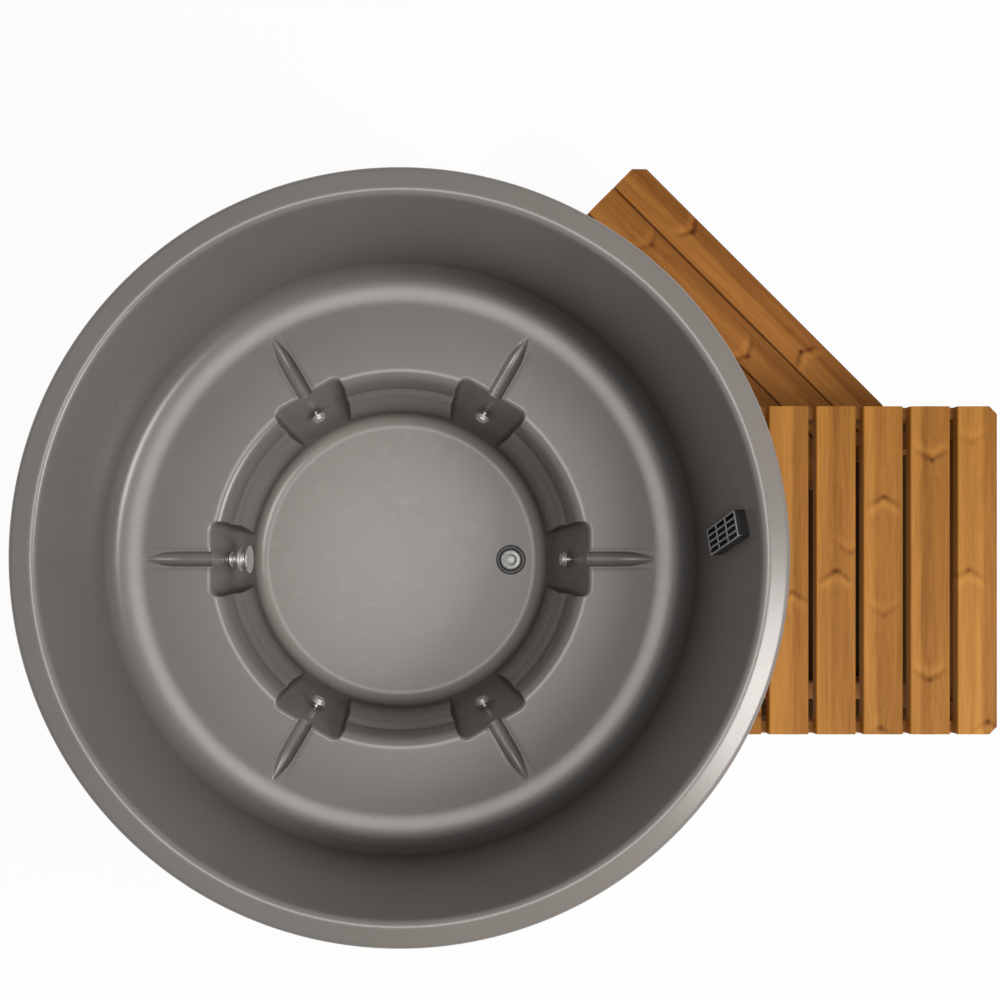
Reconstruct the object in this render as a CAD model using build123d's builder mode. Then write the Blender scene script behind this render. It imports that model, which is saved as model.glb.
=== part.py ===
from build123d import *
from math import atan2, cos, degrees, hypot, radians, sin, sqrt, tan
import os

# Round outdoor hot tub: a moulded basin in a ring of timber boards, with two timber steps.
# The origin is on the tub's axis at the ground, +Z up, +X towards the upper step.
# Everything is in millimetres.

os.makedirs("parts", exist_ok=True)

# Fits and clearances
seat_gap = 0.3             # a curved or sloping face to what it rests on
hole_clearance = 0.5       # radial, a fixed shank or tail in its hole
running_clearance = 0.08   # radial, a shaft or stem that turns
moving_gap = 0.4           # a moving piece to its neighbours

# Basin, as radius and height of its wet face
rim_height = 950.0
rim_radius = 850.0
rim_fall = 9.0             # fall of the rim's top from its inner to its outer corner
rim_skirt = 47.0
rim_inner_round = 17.0
rim_outer_round = 15.0
shell = 8.0                # moulded wall
mouth_radius = 787.0       # where the wall's line meets the rim's top
wall_foot_radius = 736.0   # where the wall's line meets the bench
bench_cove = 80.0
bench_height = 500.0
bench_edge_round = 30.0
well_radius = 458.0        # where the well's line meets the bench
throat_drop = 100.0        # bench down to the top of the ledge
throat_radius = 450.0
ledge_fall = 15.0
ledge_radius = 431.0       # at the foot of the ledge
ledge_foot_round = 34.0
ledge_top_round = 5.0
floor_height = 80.0
well_foot_radius = 424.5   # where the well's line meets the floor
well_cove = 42.0

# Six pockets in the well's wall, and the groove that drains the bench into each
pocket_count = 6
pocket_width = 190.0       # between its side walls, at the bench
pocket_foot_width = 150.0
pocket_top_radius = 482.0  # flat back face, at the bench
pocket_foot_radius = 430.0
pocket_foot_height = 110.0
pocket_corner_round = 22.0
groove_width = 38.0        # half round, so half as deep
groove_straight_radius = 560.0     # axis to where it starts to run out
groove_tip_radius = 652.0
groove_tip_round = 1.0     # radius left at the tip

# Fittings in the pockets
fitting_height = 325.0
stud_shank = 10.0
stud_reach = 13.0          # pocket face to the washer
stud_back = 18.0           # behind the pocket face
stud_washer = 41.0
stud_washer_thickness = 3.0
stud_nut = 38.0
stud_nut_thickness = 12.0
stud_nut_flange = 3.2      # height of the nut's straight edge
stud_nut_step = 5.4        # height where the dome's wall starts
stud_nut_wall = 8.4        # height where the crown starts
stud_nut_dome = 32.0
stud_thread = 7.2          # shank inside the nut
stud_collar = 16.0
stud_collar_thickness = 2.5
stud_seal = 26.0
stud_seal_thickness = 2.0
stud_back_nut = 19.0       # across the corners
stud_back_nut_thickness = 7.0

# Return nozzle in the left pocket
nozzle_flange = 42.0
nozzle_flange_thickness = 5.0
nozzle_neck = 30.0
nozzle_waist = 54.0
nozzle_flare = 65.0
nozzle_length = 44.0       # pocket face to the body's mouth
nozzle_neck_end = 9.0      # heights above the pocket's face
nozzle_collar_end = 13.0
nozzle_flare_foot = 25.0
nozzle_flare_top = 30.0
nozzle_waist_foot = 34.0
nozzle_collar = 36.0
nozzle_bore = 24.0
nozzle_lip = 6.0           # bevel inside the mouth
nozzle_lip_depth = 8.0
nozzle_web = 4.0
nozzle_web_depth = 20.0    # mouth to the web's back
nozzle_port = 4.4
nozzle_tail = 32.0
nozzle_tail_length = 62.0
nozzle_cap = 75.0
nozzle_cap_thickness = 6.0
nozzle_cap_gap = 4.0       # water leaves through this ring gap
nozzle_stem = 12.0
nozzle_stem_end = 6.0      # stem beyond the web's back
nozzle_nut = 52.0
nozzle_nut_thickness = 9.0
nozzle_seal_thickness = 2.5
return_hose = 40.0
return_height = 300.0      # of the hose's level run
return_bend = 380.0
return_flange = 78.0
return_flange_thickness = 8.0
return_port = 38.0         # plain outer spigot for the pump's hose
return_port_length = 30.0
return_port_bore = 26.0
return_spigot_length = 24.0    # inner spigot, in the tub's own hose

# Intake strainer on the right wall
intake_azimuth = 4.4
intake_drop = 161.0        # rim down to the centre of the strainer
intake_turn = 13.0         # of the strainer about the wall's normal
strainer_width = 64.0
strainer_length = 175.0
strainer_depth = 28.0
strainer_wall = 2.6
strainer_across = 4
strainer_along = 3
strainer_bar = 4.2
strainer_edge = 4.5
intake_plate_thickness = 4.0
intake_tail = 38.0
intake_tail_drop = 40.0    # below the strainer's centre
intake_bore = 26.0
intake_nut = 54.0
intake_nut_thickness = 8.0
intake_cup = 44.0
intake_cup_depth = 26.0
intake_spigot_back = 17.5   # spigot behind the cup's face
intake_tail_hold = 8.0
intake_screw = 4.0
intake_screw_head = 8.0
intake_screw_head_height = 2.5
intake_screw_back = 4.0    # point behind the wall
intake_screw_pitch = 150.0
intake_hose = 30.0
intake_hose_wall = 2.8
intake_outlet_height = 104.0
intake_collar = 42.0
intake_collar_thickness = 4.0
intake_port_length = 36.0

# Floor drain
drain_offset = 322.0
drain_flange = 86.0
drain_flange_thickness = 3.5
drain_bore = 48.0
drain_neck = 58.0
drain_neck_hold = 22.0     # neck inside the sump
drain_seat_depth = 3.0
drain_plug = 60.0
drain_plug_thickness = 5.0
drain_plug_body = 42.0
drain_plug_body_length = 16.0
drain_plug_bevel = 1.5
drain_plug_bevel_width = 5.0
plug_boss = 28.0           # raised middle that a hand takes hold of
plug_boss_top = 22.0
plug_boss_height = 3.0
plug_crown = 1.0
drain_ring = 3.5           # section of the plug's seal ring
drain_seal_thickness = 2.0
drain_nut = 84.0
drain_nut_thickness = 10.0
sump_radius = 35.0
sump_wall = 3.5
sump_top = 57.0
sump_bottom = 4.0
sump_socket = 16.0
drain_axis_height = 27.0
drain_pipe = 38.0
drain_pipe_wall = 2.5
drain_socket = 9.0         # pipe's hold in the valve
sump_hold = 18.0           # pipe's hold in the sump
valve_distance = 852.0     # tub's axis line to the valve's centre, along -Y
valve_body = 52.0
valve_half_length = 36.0
valve_wall = 2.5
ball_radius = 20.0
valve_port = 26.0
valve_collar = 12.0        # length of the collar round the pipe
valve_shoulder = 12.0      # centre to where the body reaches its full size
valve_mouth = 20.0         # centre to the mouth for the screwed end
valve_cone = 0.8           # cavity's radius at its back, as a share of its full radius
stem_radius = 6.0
stem_boss = 20.0
stem_boss_height = 40.0    # above the valve's axis
stem_root = 16.0           # stem's foot in the ball, above the valve's axis
stem_end = 1.6             # stem above the handle's nut
handle_length = 92.0
handle_width = 18.0
handle_thickness = 5.0
handle_hub = 24.8
handle_grip = 78.0
handle_grip_width = 14.0
handle_grip_middle = 57.0  # stem to the grip's middle
handle_nut_size = 18.0
handle_nut_thickness = 6.0
tail_radius = 18.0
tail_length = 52.0
tail_barbs = 4
tail_barb = 2.0            # height of a barb
tail_barb_foot = 3.0       # from a barb's root to its crest
tail_wall = 2.0            # step from the valve's port to the tail's bore

# Timber frame under the basin
joist_width = 45.0
joist_height = 48.0
joist_end_gap = 2.0
joist_chamfer = 3.0
joist_rows = (-700.0, -480.0, -240.0, 0.0, 240.0, 480.0, 700.0)
base_thickness = floor_height - shell - joist_height
base_drain_hole = 104.0
base_joint = 2.0
bench_plate_thickness = 24.0
bench_plate_inner = 545.0
bench_plate_outer = 688.0
bench_plate_half_angle = 25.0
post_radius = 616.0
post_size = 45.0
post_angle = 15.0

# Ring of boards outside
board_count = 48
board_face = 834.0         # axis to a board's outer face
board_thickness = 20.0
board_joint = 3.0
board_chamfer = 3.0
board_bottom = 15.0
pipe_clearance = 3.0       # radial, the drain pipe in its way through the boards
board_drop = 22.0          # rim down to the boards' top
top_batten_width = 16.0
top_batten_height = 30.0
band_height = 40.0
band_thickness = 1.5
lower_band_level = 170.0   # centre of the band
upper_band_drop = 180.0    # rim down to the centre of the band
band_azimuth = 202.5
band_gap = 26.0
lug_reach = 26.0
lug_thickness = 3.0
lug_root = 1.0             # lug's foot inside the band's thickness
lug_bolt = 8.0
lug_bolt_end = 12.0        # bolt beyond the far lug
lug_bolt_head = 5.2
lug_nut_thickness = 6.4
jacket_foot = base_thickness + joist_height
jacket_gap = 3.0
jacket_channel = 44.0

# Upper step: slats along Y on two bearers
platform_height = 680.0
platform_depth = 786.0
platform_middle = -28.0    # centre of the slats, along Y
platform_edge = 1432.0     # outer edge, along X
slat_width = 95.0
slat_pitch = 113.0
slat_thickness = 28.0
slat_count = 6
slat_crown = 2.2
slat_ridge_round = 120.0
slat_edge_round = 4.0
slat_foot_round = 1.5
timber_chamfer = 2.0
slat_corner_cut = 20.0
scribe_gap = 5.0           # first slat to the boards
bearer_width = 28.0
bearer_height = 95.0
bearer_start = 790.0
bearer_setback = 20.0      # bearer's end inside the platform's edge
leg_depth = 45.0
leg_width = 70.0
inner_leg_start = 800.0
rail_thickness = 45.0
foot_rail_height = 70.0
foot_rail_level = 120.0

# Lower step: three boards at 45 degrees, with its own frame
step_height = 357.0
step_outer = 1207.0        # outer edge, from the tub's axis
step_far_end = 650.0       # under the upper step, short of its legs
step_length = 950.0
step_board_gap = 3.5
step_boards = 3
step_corner_cut = 29.0
step_bearer_width = 45.0
step_bearer_height = 70.0
step_end_inset = 10.0
step_front_rail = 28.0
step_leg = 45.0

# Fasteners in the timber
coach_bolt = 8.0
coach_head = 20.0
coach_head_height = 5.0
screw_shank = 6.0
screw_head = 14.0
screw_head_height = 4.0
fastener_shares = (0.3, 0.7)   # heights of a pair, as shares of the timber's height
wall_screw_pitch = 60.0


def save(piece, name):
    """Label a finished piece and write it."""
    piece.part.label = name
    export_step(piece.part, f"parts/{name}.step")


def dome_middle(radius, foot, top):
    """Middle point of the round cap's section, from its rim to its crown on the axis."""
    rise = top - foot
    sphere = (radius ** 2 + rise ** 2) / (2 * rise)
    half_angle = atan2(radius, sphere - rise) / 2
    return (sphere * sin(half_angle), top - sphere + sphere * cos(half_angle))


def offset_corners(corners, distance):
    """Corners of the path at a distance to the right of a path of (radius, height) points."""
    lines = []
    for (r1, z1), (r2, z2) in zip(corners, corners[1:]):
        length = hypot(r2 - r1, z2 - z1)
        along = ((r2 - r1) / length, (z2 - z1) / length)
        shift = (along[1] * distance, -along[0] * distance)
        lines.append(((r1 + shift[0], z1 + shift[1]), (r2 + shift[0], z2 + shift[1]), along))
    result = [lines[0][0]]
    for (start, _, a), (other, _, b) in zip(lines, lines[1:]):
        cross = a[0] * b[1] - a[1] * b[0]
        reach = ((other[0] - start[0]) * b[1] - (other[1] - start[1]) * b[0]) / cross
        result.append((start[0] + a[0] * reach, start[1] + a[1] * reach))
    result.append(lines[-1][1])
    return result


# Basin's path, from the middle of the floor to the foot of the rim's skirt
ledge_top = bench_height - throat_drop
skirt_foot = rim_height - rim_skirt
board_top = rim_height - board_drop
intake_height = rim_height - intake_drop
band_levels = (lower_band_level, rim_height - upper_band_drop)
wet_corners = [
    (0, floor_height),
    (well_foot_radius, floor_height),
    (ledge_radius, ledge_top - ledge_fall),
    (throat_radius, ledge_top),
    (well_radius, bench_height),
    (wall_foot_radius, bench_height),
    (mouth_radius, rim_height),
    (rim_radius, rim_height - rim_fall),
    (rim_radius, skirt_foot),
]
wet_rounds = [
    well_cove, ledge_foot_round, ledge_top_round, bench_edge_round, bench_cove,
    rim_inner_round, rim_outer_round,
]
# The dry face turns on the same centres, so a hollow corner's radius grows by the wall
hollow = [True, False, True, False, True, False, False]
dry_corners = offset_corners(wet_corners, shell)
dry_rounds = [r + shell if inward else r - shell for r, inward in zip(wet_rounds, hollow)]

# Ring of boards: its inside carries the frame, its corners carry what goes round it
board_inner = board_face - board_thickness
frame_radius = board_inner - seat_gap
board_step = 360 / board_count
half_outer = board_face * tan(radians(board_step / 2)) - board_joint / 2
half_inner = board_inner * tan(radians(board_step / 2)) - board_joint / 2
board_corner = hypot(board_face, half_outer - board_chamfer)

wall_slope = (mouth_radius - wall_foot_radius) / (rim_height - bench_height)
wall_tilt = degrees(atan2(mouth_radius - wall_foot_radius, rim_height - bench_height))
pocket_slope = (pocket_top_radius - pocket_foot_radius) / (bench_height - pocket_foot_height)
pocket_tilt = degrees(atan2(pocket_slope, 1))


def wall_radius(height):
    """Radius of the wet wall above the bench."""
    return wall_foot_radius + wall_slope * (height - bench_height)


def pocket_radius(height):
    """Distance of a pocket's back face from the axis."""
    return pocket_foot_radius + pocket_slope * (height - pocket_foot_height)


def fitting_plane(azimuth, radius, height, tilt, turn=0):
    """Plane on a leaning wall: local x along the wall, y up the wall, z into the tub."""
    a = radians(azimuth)
    t = radians(tilt)
    normal = Vector(-cos(t) * cos(a), -cos(t) * sin(a), sin(t))
    along = Vector(sin(a), -cos(a), 0)
    x_dir = along * cos(radians(turn)) + normal.cross(along) * sin(radians(turn))
    return Plane(origin=(radius * cos(a), radius * sin(a), height), x_dir=x_dir, z_dir=normal)


pocket_plane = fitting_plane(0, pocket_radius(fitting_height), fitting_height, pocket_tilt)
pocket_step = 360 / pocket_count
nozzle_azimuth = 180.0
nozzle_plane = fitting_plane(
    nozzle_azimuth, pocket_radius(fitting_height), fitting_height, pocket_tilt
)
stud_azimuths = [k * pocket_step for k in range(pocket_count) if k * pocket_step != nozzle_azimuth]
stud_places = [Location((0, 0, 0), (0, 0, a)) for a in stud_azimuths]

intake_plane = fitting_plane(
    intake_azimuth, wall_radius(intake_height), intake_height, wall_tilt, intake_turn
)
intake_tail_plane = Plane(
    origin=intake_plane.from_local_coords((0, -intake_tail_drop, 0)),
    x_dir=intake_plane.x_dir,
    z_dir=intake_plane.z_dir,
)


# Pocket: a flat leaning face with short side walls, cut from the wet side
pocket_over = 30.0
pocket_reach_in = 300.0


def pocket_half(height):
    """Half the pocket's width, which narrows from the bench to the foot."""
    share = (height - pocket_foot_height) / (bench_height - pocket_foot_height)
    return (pocket_foot_width + (pocket_width - pocket_foot_width) * share) / 2


def pocket_block(extra, top, bottom):
    """Block behind a pocket's faces; extra is how far it stands outside them."""
    back = extra / cos(radians(pocket_tilt))
    with BuildPart() as block:
        for height in (bottom, top):
            reach = pocket_radius(height) + back
            with BuildSketch(Plane.XY.offset(height)):
                with Locations(((pocket_reach_in + reach) / 2, 0)):
                    Rectangle(reach - pocket_reach_in, 2 * (pocket_half(height) + extra))
        loft(ruled=True)
        back_face = block.faces().sort_by(Axis.X)[-1]
        sides = back_face.edges().filter_by(lambda edge: abs(edge.tangent_at(0.5).Z) > 0.5)
        fillet(sides, radius=pocket_corner_round + extra)
    return block


pocket_cut = pocket_block(0, bench_height + pocket_over, pocket_foot_height)
pocket_back = pocket_block(shell, bench_height - shell / 2, pocket_foot_height - shell)

# Groove: a half-round channel in the bench that runs out in an arc
groove_start = well_radius - 2 * bench_edge_round
groove_depth = groove_width / 2
rib_tip = shell + groove_tip_round     # the rib under the tip, a little under the bench


def groove_body(tip_radius, depth, tip_depth):
    """Round body of the channel, turned about the line in the bench's face."""
    with BuildPart() as channel:
        with BuildSketch(Plane.XZ):
            with BuildLine():
                Polyline(
                    (tip_radius, bench_height - tip_depth),
                    (tip_radius, bench_height),
                    (groove_start, bench_height),
                    (groove_start, bench_height - depth),
                    (groove_straight_radius, bench_height - depth),
                )
                TangentArc(
                    (groove_straight_radius, bench_height - depth),
                    (tip_radius, bench_height - tip_depth),
                    tangent=(1, 0),
                )
            make_face()
        revolve(axis=Axis((0, 0, bench_height), (1, 0, 0)))
    return channel


groove_cut = groove_body(groove_tip_radius, groove_depth, groove_tip_round)
groove_rib = groove_body(groove_tip_radius + shell, groove_depth + shell, rib_tip)

with BuildPart() as basin:
    with BuildSketch(Plane.XZ):
        with BuildLine():
            FilletPolyline(
                *dry_corners,
                (rim_radius + shell, skirt_foot),
                (rim_radius + shell, rim_height + shell),
                (0, rim_height + shell),
                radius=[0, *dry_rounds, 0, 0, 0, 0],
                close=True,
            )
        make_face()
    revolve(axis=Axis.Z)
    with PolarLocations(0, pocket_count):
        add(pocket_back.part)
        add(groove_rib.part)
    with BuildSketch(Plane.XZ):
        with BuildLine():
            FilletPolyline(
                *wet_corners[:-1],
                (rim_radius, skirt_foot - shell),
                (rim_radius + 3 * shell, skirt_foot - shell),
                (rim_radius + 3 * shell, rim_height + 3 * shell),
                (0, rim_height + 3 * shell),
                radius=[0, *wet_rounds, 0, 0, 0, 0],
                close=True,
            )
        make_face()
    revolve(axis=Axis.Z, mode=Mode.SUBTRACT)
    with PolarLocations(0, pocket_count):
        add(pocket_cut.part, mode=Mode.SUBTRACT)
        add(groove_cut.part, mode=Mode.SUBTRACT)
    # Holes for the studs, the nozzle, the intake and the drain
    with BuildSketch(pocket_plane):
        Circle(stud_shank / 2 + hole_clearance)
    stud_hole = extrude(amount=3 * shell, both=True, mode=Mode.PRIVATE)
    for place in stud_places:
        add(place * stud_hole, mode=Mode.SUBTRACT)
    with BuildSketch(nozzle_plane):
        Circle(nozzle_tail / 2 + hole_clearance)
    extrude(amount=3 * shell, both=True, mode=Mode.SUBTRACT)
    with BuildSketch(intake_tail_plane):
        Circle(intake_tail / 2 + hole_clearance)
    extrude(amount=3 * shell, both=True, mode=Mode.SUBTRACT)
    with BuildSketch(intake_plane):
        with GridLocations(0, intake_screw_pitch, 1, 2):
            Circle(intake_screw / 2 + hole_clearance / 2)
    extrude(amount=3 * shell, both=True, mode=Mode.SUBTRACT)
    with BuildSketch(Plane.XY.offset(floor_height)):
        with Locations((drain_offset, 0)):
            Circle(drain_neck / 2 + hole_clearance)
    extrude(amount=3 * shell, both=True, mode=Mode.SUBTRACT)
save(basin, "basin")

# Studs in five pockets, each with a collar on the pocket's face
with BuildPart() as stud:
    with BuildSketch(pocket_plane.offset(-stud_back)):
        Circle(stud_shank / 2)
    extrude(amount=stud_back + stud_reach + stud_washer_thickness + stud_thread)
    with BuildSketch(pocket_plane):
        Circle(stud_collar / 2)
    extrude(amount=stud_collar_thickness)
with BuildPart() as pocket_studs:
    for place in stud_places:
        add(place * stud.part)
save(pocket_studs, "pocket_studs")

washer_plane = pocket_plane.offset(stud_reach)
with BuildPart() as washer:
    with BuildSketch(washer_plane):
        Circle(stud_washer / 2)
        Circle(stud_shank / 2 + running_clearance, mode=Mode.SUBTRACT)
    extrude(amount=stud_washer_thickness)
    chamfer(washer.edges().filter_by(GeomType.CIRCLE).sort_by(SortBy.RADIUS)[-2:], 0.5)
with BuildPart() as pocket_washers:
    for place in stud_places:
        add(place * washer.part)
save(pocket_washers, "pocket_washers")

# Domed nut: a flange, a step and a low crown, with a blind hole for the stud
dome_radius = stud_nut_dome / 2
with BuildPart() as dome_nut:
    with BuildSketch(Plane.XZ):
        with BuildLine():
            Polyline(
                (0, 0),
                (stud_nut / 2, 0),
                (stud_nut / 2, stud_nut_flange),
                (dome_radius, stud_nut_step),
                (dome_radius, stud_nut_wall),
            )
            ThreePointArc(
                (dome_radius, stud_nut_wall),
                dome_middle(dome_radius, stud_nut_wall, stud_nut_thickness),
                (0, stud_nut_thickness),
            )
            Line((0, stud_nut_thickness), (0, 0))
        make_face()
    revolve(axis=Axis.Z)
    with BuildSketch(Plane.XY):
        Circle(stud_shank / 2 + running_clearance)
    extrude(amount=stud_thread + moving_gap, mode=Mode.SUBTRACT)
nut_plane = pocket_plane.offset(stud_reach + stud_washer_thickness)
with BuildPart() as pocket_nuts:
    for place in stud_places:
        add(place * nut_plane.location * dome_nut.part)
save(pocket_nuts, "pocket_nuts")

seal_plane = pocket_plane.offset(-shell)
with BuildPart() as stud_seal_piece:
    with BuildSketch(seal_plane):
        Circle(stud_seal / 2)
        Circle(stud_shank / 2 + running_clearance, mode=Mode.SUBTRACT)
    extrude(amount=-stud_seal_thickness)
with BuildPart() as pocket_seals:
    for place in stud_places:
        add(place * stud_seal_piece.part)
save(pocket_seals, "pocket_seals")

with BuildPart() as back_nut:
    with BuildSketch(seal_plane.offset(-stud_seal_thickness)):
        RegularPolygon(stud_back_nut / 2, 6)
        Circle(stud_shank / 2 + running_clearance, mode=Mode.SUBTRACT)
    extrude(amount=-stud_back_nut_thickness)
with BuildPart() as pocket_back_nuts:
    for place in stud_places:
        add(place * back_nut.part)
save(pocket_back_nuts, "pocket_back_nuts")

# Return nozzle: a turned body through the pocket's wall, its bore closed by a web at the mouth
# that carries the cap's stem and lets the water by through a ring of ports
with BuildPart() as nozzle_body:
    with BuildSketch(Plane.XZ):
        with BuildLine():
            FilletPolyline(
                (nozzle_bore / 2, -nozzle_tail_length),
                (nozzle_tail / 2, -nozzle_tail_length),
                (nozzle_tail / 2, 0),
                (nozzle_flange / 2, 0),
                (nozzle_flange / 2, nozzle_flange_thickness),
                (nozzle_neck / 2, nozzle_flange_thickness),
                (nozzle_neck / 2, nozzle_neck_end),
                (nozzle_collar / 2, nozzle_neck_end),
                (nozzle_collar / 2, nozzle_collar_end),
                (nozzle_flare / 2, nozzle_flare_foot),
                (nozzle_flare / 2, nozzle_flare_top),
                (nozzle_waist / 2, nozzle_waist_foot),
                (nozzle_waist / 2, nozzle_length),
                (nozzle_bore / 2 + nozzle_lip, nozzle_length),
                (nozzle_bore / 2, nozzle_length - nozzle_lip_depth),
                radius=[0, 0, 0, 1, 1, 0, 0, 1, 1, 1.5, 1.5, 1, 1, 1, 1],
                close=True,
            )
        make_face()
    revolve(axis=Axis.Z)
    # Web with four ports, inside the bore
    with BuildSketch(Plane.XY.offset(nozzle_length - nozzle_web_depth)):
        Circle(nozzle_bore / 2 + moving_gap)
        Circle(nozzle_stem / 2 + running_clearance, mode=Mode.SUBTRACT)
        with PolarLocations((nozzle_bore + nozzle_stem) / 4, 4):
            Circle(nozzle_port / 2, mode=Mode.SUBTRACT)
    extrude(amount=nozzle_web)
with BuildPart() as return_nozzle:
    add(nozzle_plane.location * nozzle_body.part)
save(return_nozzle, "return_nozzle")

# Cap that turns on its stem to throttle the return
cap_foot = nozzle_length + nozzle_cap_gap
stem_foot = nozzle_length - nozzle_web_depth - nozzle_stem_end
cap_dish = 12.0
with BuildPart() as cap_shape:
    with BuildSketch(Plane.XZ):
        with BuildLine():
            FilletPolyline(
                (0, stem_foot),
                (nozzle_stem / 2, stem_foot),
                (nozzle_stem / 2, cap_foot),
                (nozzle_cap / 2, cap_foot),
                (nozzle_cap / 2, cap_foot + nozzle_cap_thickness - 1),
                (nozzle_cap / 2 - cap_dish, cap_foot + nozzle_cap_thickness),
                (0, cap_foot + nozzle_cap_thickness),
                radius=[0, 1, 2, 1.5, 1.5, 8, 0],
                close=True,
            )
        make_face()
    revolve(axis=Axis.Z)
with BuildPart() as nozzle_cap_piece:
    add(nozzle_plane.location * cap_shape.part)
save(nozzle_cap_piece, "nozzle_cap")

nozzle_dry = nozzle_plane.offset(-shell)
with BuildPart() as nozzle_seal:
    with BuildSketch(nozzle_dry):
        Circle(nozzle_nut / 2)
        Circle(nozzle_tail / 2 + running_clearance, mode=Mode.SUBTRACT)
    extrude(amount=-nozzle_seal_thickness)
save(nozzle_seal, "nozzle_seal")

with BuildPart() as nozzle_back_nut:
    with BuildSketch(nozzle_dry.offset(-nozzle_seal_thickness)):
        RegularPolygon(nozzle_nut / 2, 8)
        Circle(nozzle_tail / 2 + running_clearance, mode=Mode.SUBTRACT)
    extrude(amount=-nozzle_nut_thickness)
save(nozzle_back_nut, "nozzle_back_nut")

# Return hose: pushed over the nozzle's tail, one slow bend, then level through the boards
hose_start = nozzle_plane.from_local_coords(
    (0, 0, -shell - nozzle_seal_thickness - nozzle_nut_thickness - moving_gap)
)
hose_run = (hose_start.Z - return_height) / tan(radians(pocket_tilt))
hose_knee = (hose_start.X - hose_run, 0, return_height)
return_end = (-board_face, 0, return_height)
with BuildPart() as return_hose_piece:
    with BuildLine() as return_route:
        FilletPolyline(
            (hose_start.X, 0, hose_start.Z), hose_knee, return_end, radius=return_bend
        )
    with BuildSketch(Plane(origin=hose_start, z_dir=return_route.line % 0)):
        Circle(return_hose / 2)
        Circle(nozzle_tail / 2 + running_clearance, mode=Mode.SUBTRACT)
    sweep(path=return_route.line)
save(return_hose_piece, "return_hose")

# Flange on the boards, with a spigot into the hose and a plain one outwards
return_plane = Plane(origin=(-board_face, 0, return_height), x_dir=(-1, 0, 0), z_dir=(0, 1, 0))
port_end = return_flange_thickness + return_port_length
with BuildPart() as return_flange_piece:
    with BuildSketch(return_plane):
        with BuildLine():
            FilletPolyline(
                (-return_spigot_length, return_port_bore / 2),
                (-return_spigot_length, nozzle_tail / 2),
                (0, nozzle_tail / 2),
                (0, return_flange / 2),
                (return_flange_thickness, return_flange / 2),
                (return_flange_thickness, return_port / 2),
                (port_end, return_port / 2),
                (port_end, return_port_bore / 2),
                radius=[0, 1, 0, 0, 3, 0, 0, 0],
                close=True,
            )
        make_face()
    revolve(axis=Axis(return_end, (-1, 0, 0)))
save(return_flange_piece, "return_flange")

# Intake: plate on the wall with a tail through it, strainer cover clipped over the plate
cup_face = shell + seat_gap + intake_nut_thickness + seat_gap
inner_width = strainer_width - 2 * strainer_wall
inner_length = strainer_length - 2 * strainer_wall
# The wall's hollow behind the turned strainer's corners
corner_turn = radians(intake_turn)
corner_reach = (strainer_width * cos(corner_turn) + strainer_length * sin(corner_turn)) / 2
wall_sagitta = corner_reach ** 2 / (2 * wall_radius(intake_height))
plate_back = wall_sagitta + seat_gap
plate_face = plate_back + intake_plate_thickness
with BuildPart() as intake_plate:
    with BuildSketch(intake_plane.offset(plate_back)):
        RectangleRounded(inner_width - 2 * moving_gap, inner_length - 2 * moving_gap, 4)
        with Locations((0, -intake_tail_drop)):
            Circle(intake_bore / 2, mode=Mode.SUBTRACT)
        with GridLocations(0, intake_screw_pitch, 1, 2):
            Circle(intake_screw / 2 + running_clearance, mode=Mode.SUBTRACT)
    extrude(amount=intake_plate_thickness)
    with BuildSketch(intake_tail_plane.offset(plate_back)):
        Circle(intake_tail / 2)
        Circle(intake_bore / 2, mode=Mode.SUBTRACT)
    extrude(amount=-(plate_back + cup_face + intake_tail_hold))
save(intake_plate, "intake_plate")

with BuildPart() as intake_screws:
    with BuildSketch(intake_plane.offset(plate_face)):
        with GridLocations(0, intake_screw_pitch, 1, 2):
            Circle(intake_screw_head / 2)
    extrude(amount=intake_screw_head_height)
    chamfer(intake_screws.faces().sort_by(Axis(intake_plane.origin, intake_plane.z_dir))[-2:]
            .edges(), 0.6)
    with BuildSketch(intake_plane.offset(plate_face)):
        with GridLocations(0, intake_screw_pitch, 1, 2):
            Circle(intake_screw / 2)
    extrude(amount=-(plate_face + shell + intake_screw_back))
save(intake_screws, "intake_screws")

cover_back = wall_sagitta + moving_gap
cover_front = strainer_depth
slots_across = strainer_width - 2 * strainer_edge - (strainer_across - 1) * strainer_bar
slots_along = strainer_length - 2 * strainer_edge - (strainer_along - 1) * strainer_bar
slot_width = slots_across / strainer_across
slot_length = slots_along / strainer_along
with BuildPart() as intake_strainer:
    with BuildSketch(intake_plane.offset(cover_back)):
        RectangleRounded(strainer_width, strainer_length, 6)
    extrude(amount=cover_front - cover_back)
    toward_tub = Axis(intake_plane.origin, intake_plane.z_dir)
    fillet(intake_strainer.faces().sort_by(toward_tub)[-1].edges(), radius=2.5)
    with BuildSketch(intake_plane.offset(cover_back)):
        RectangleRounded(inner_width, inner_length, 6 - strainer_wall)
    extrude(amount=cover_front - cover_back - strainer_wall, mode=Mode.SUBTRACT)
    with BuildSketch(intake_plane.offset(cover_front - 2 * strainer_wall)):
        with GridLocations(
            slot_width + strainer_bar, slot_length + strainer_bar, strainer_across, strainer_along
        ):
            Rectangle(slot_width, slot_length)
    extrude(amount=3 * strainer_wall, mode=Mode.SUBTRACT)
save(intake_strainer, "intake_strainer")

with BuildPart() as intake_back_nut:
    with BuildSketch(intake_tail_plane.offset(-shell - seat_gap)):
        RegularPolygon(intake_nut / 2, 8)
        Circle(intake_tail / 2 + running_clearance, mode=Mode.SUBTRACT)
    extrude(amount=-intake_nut_thickness)
save(intake_back_nut, "intake_back_nut")

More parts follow.
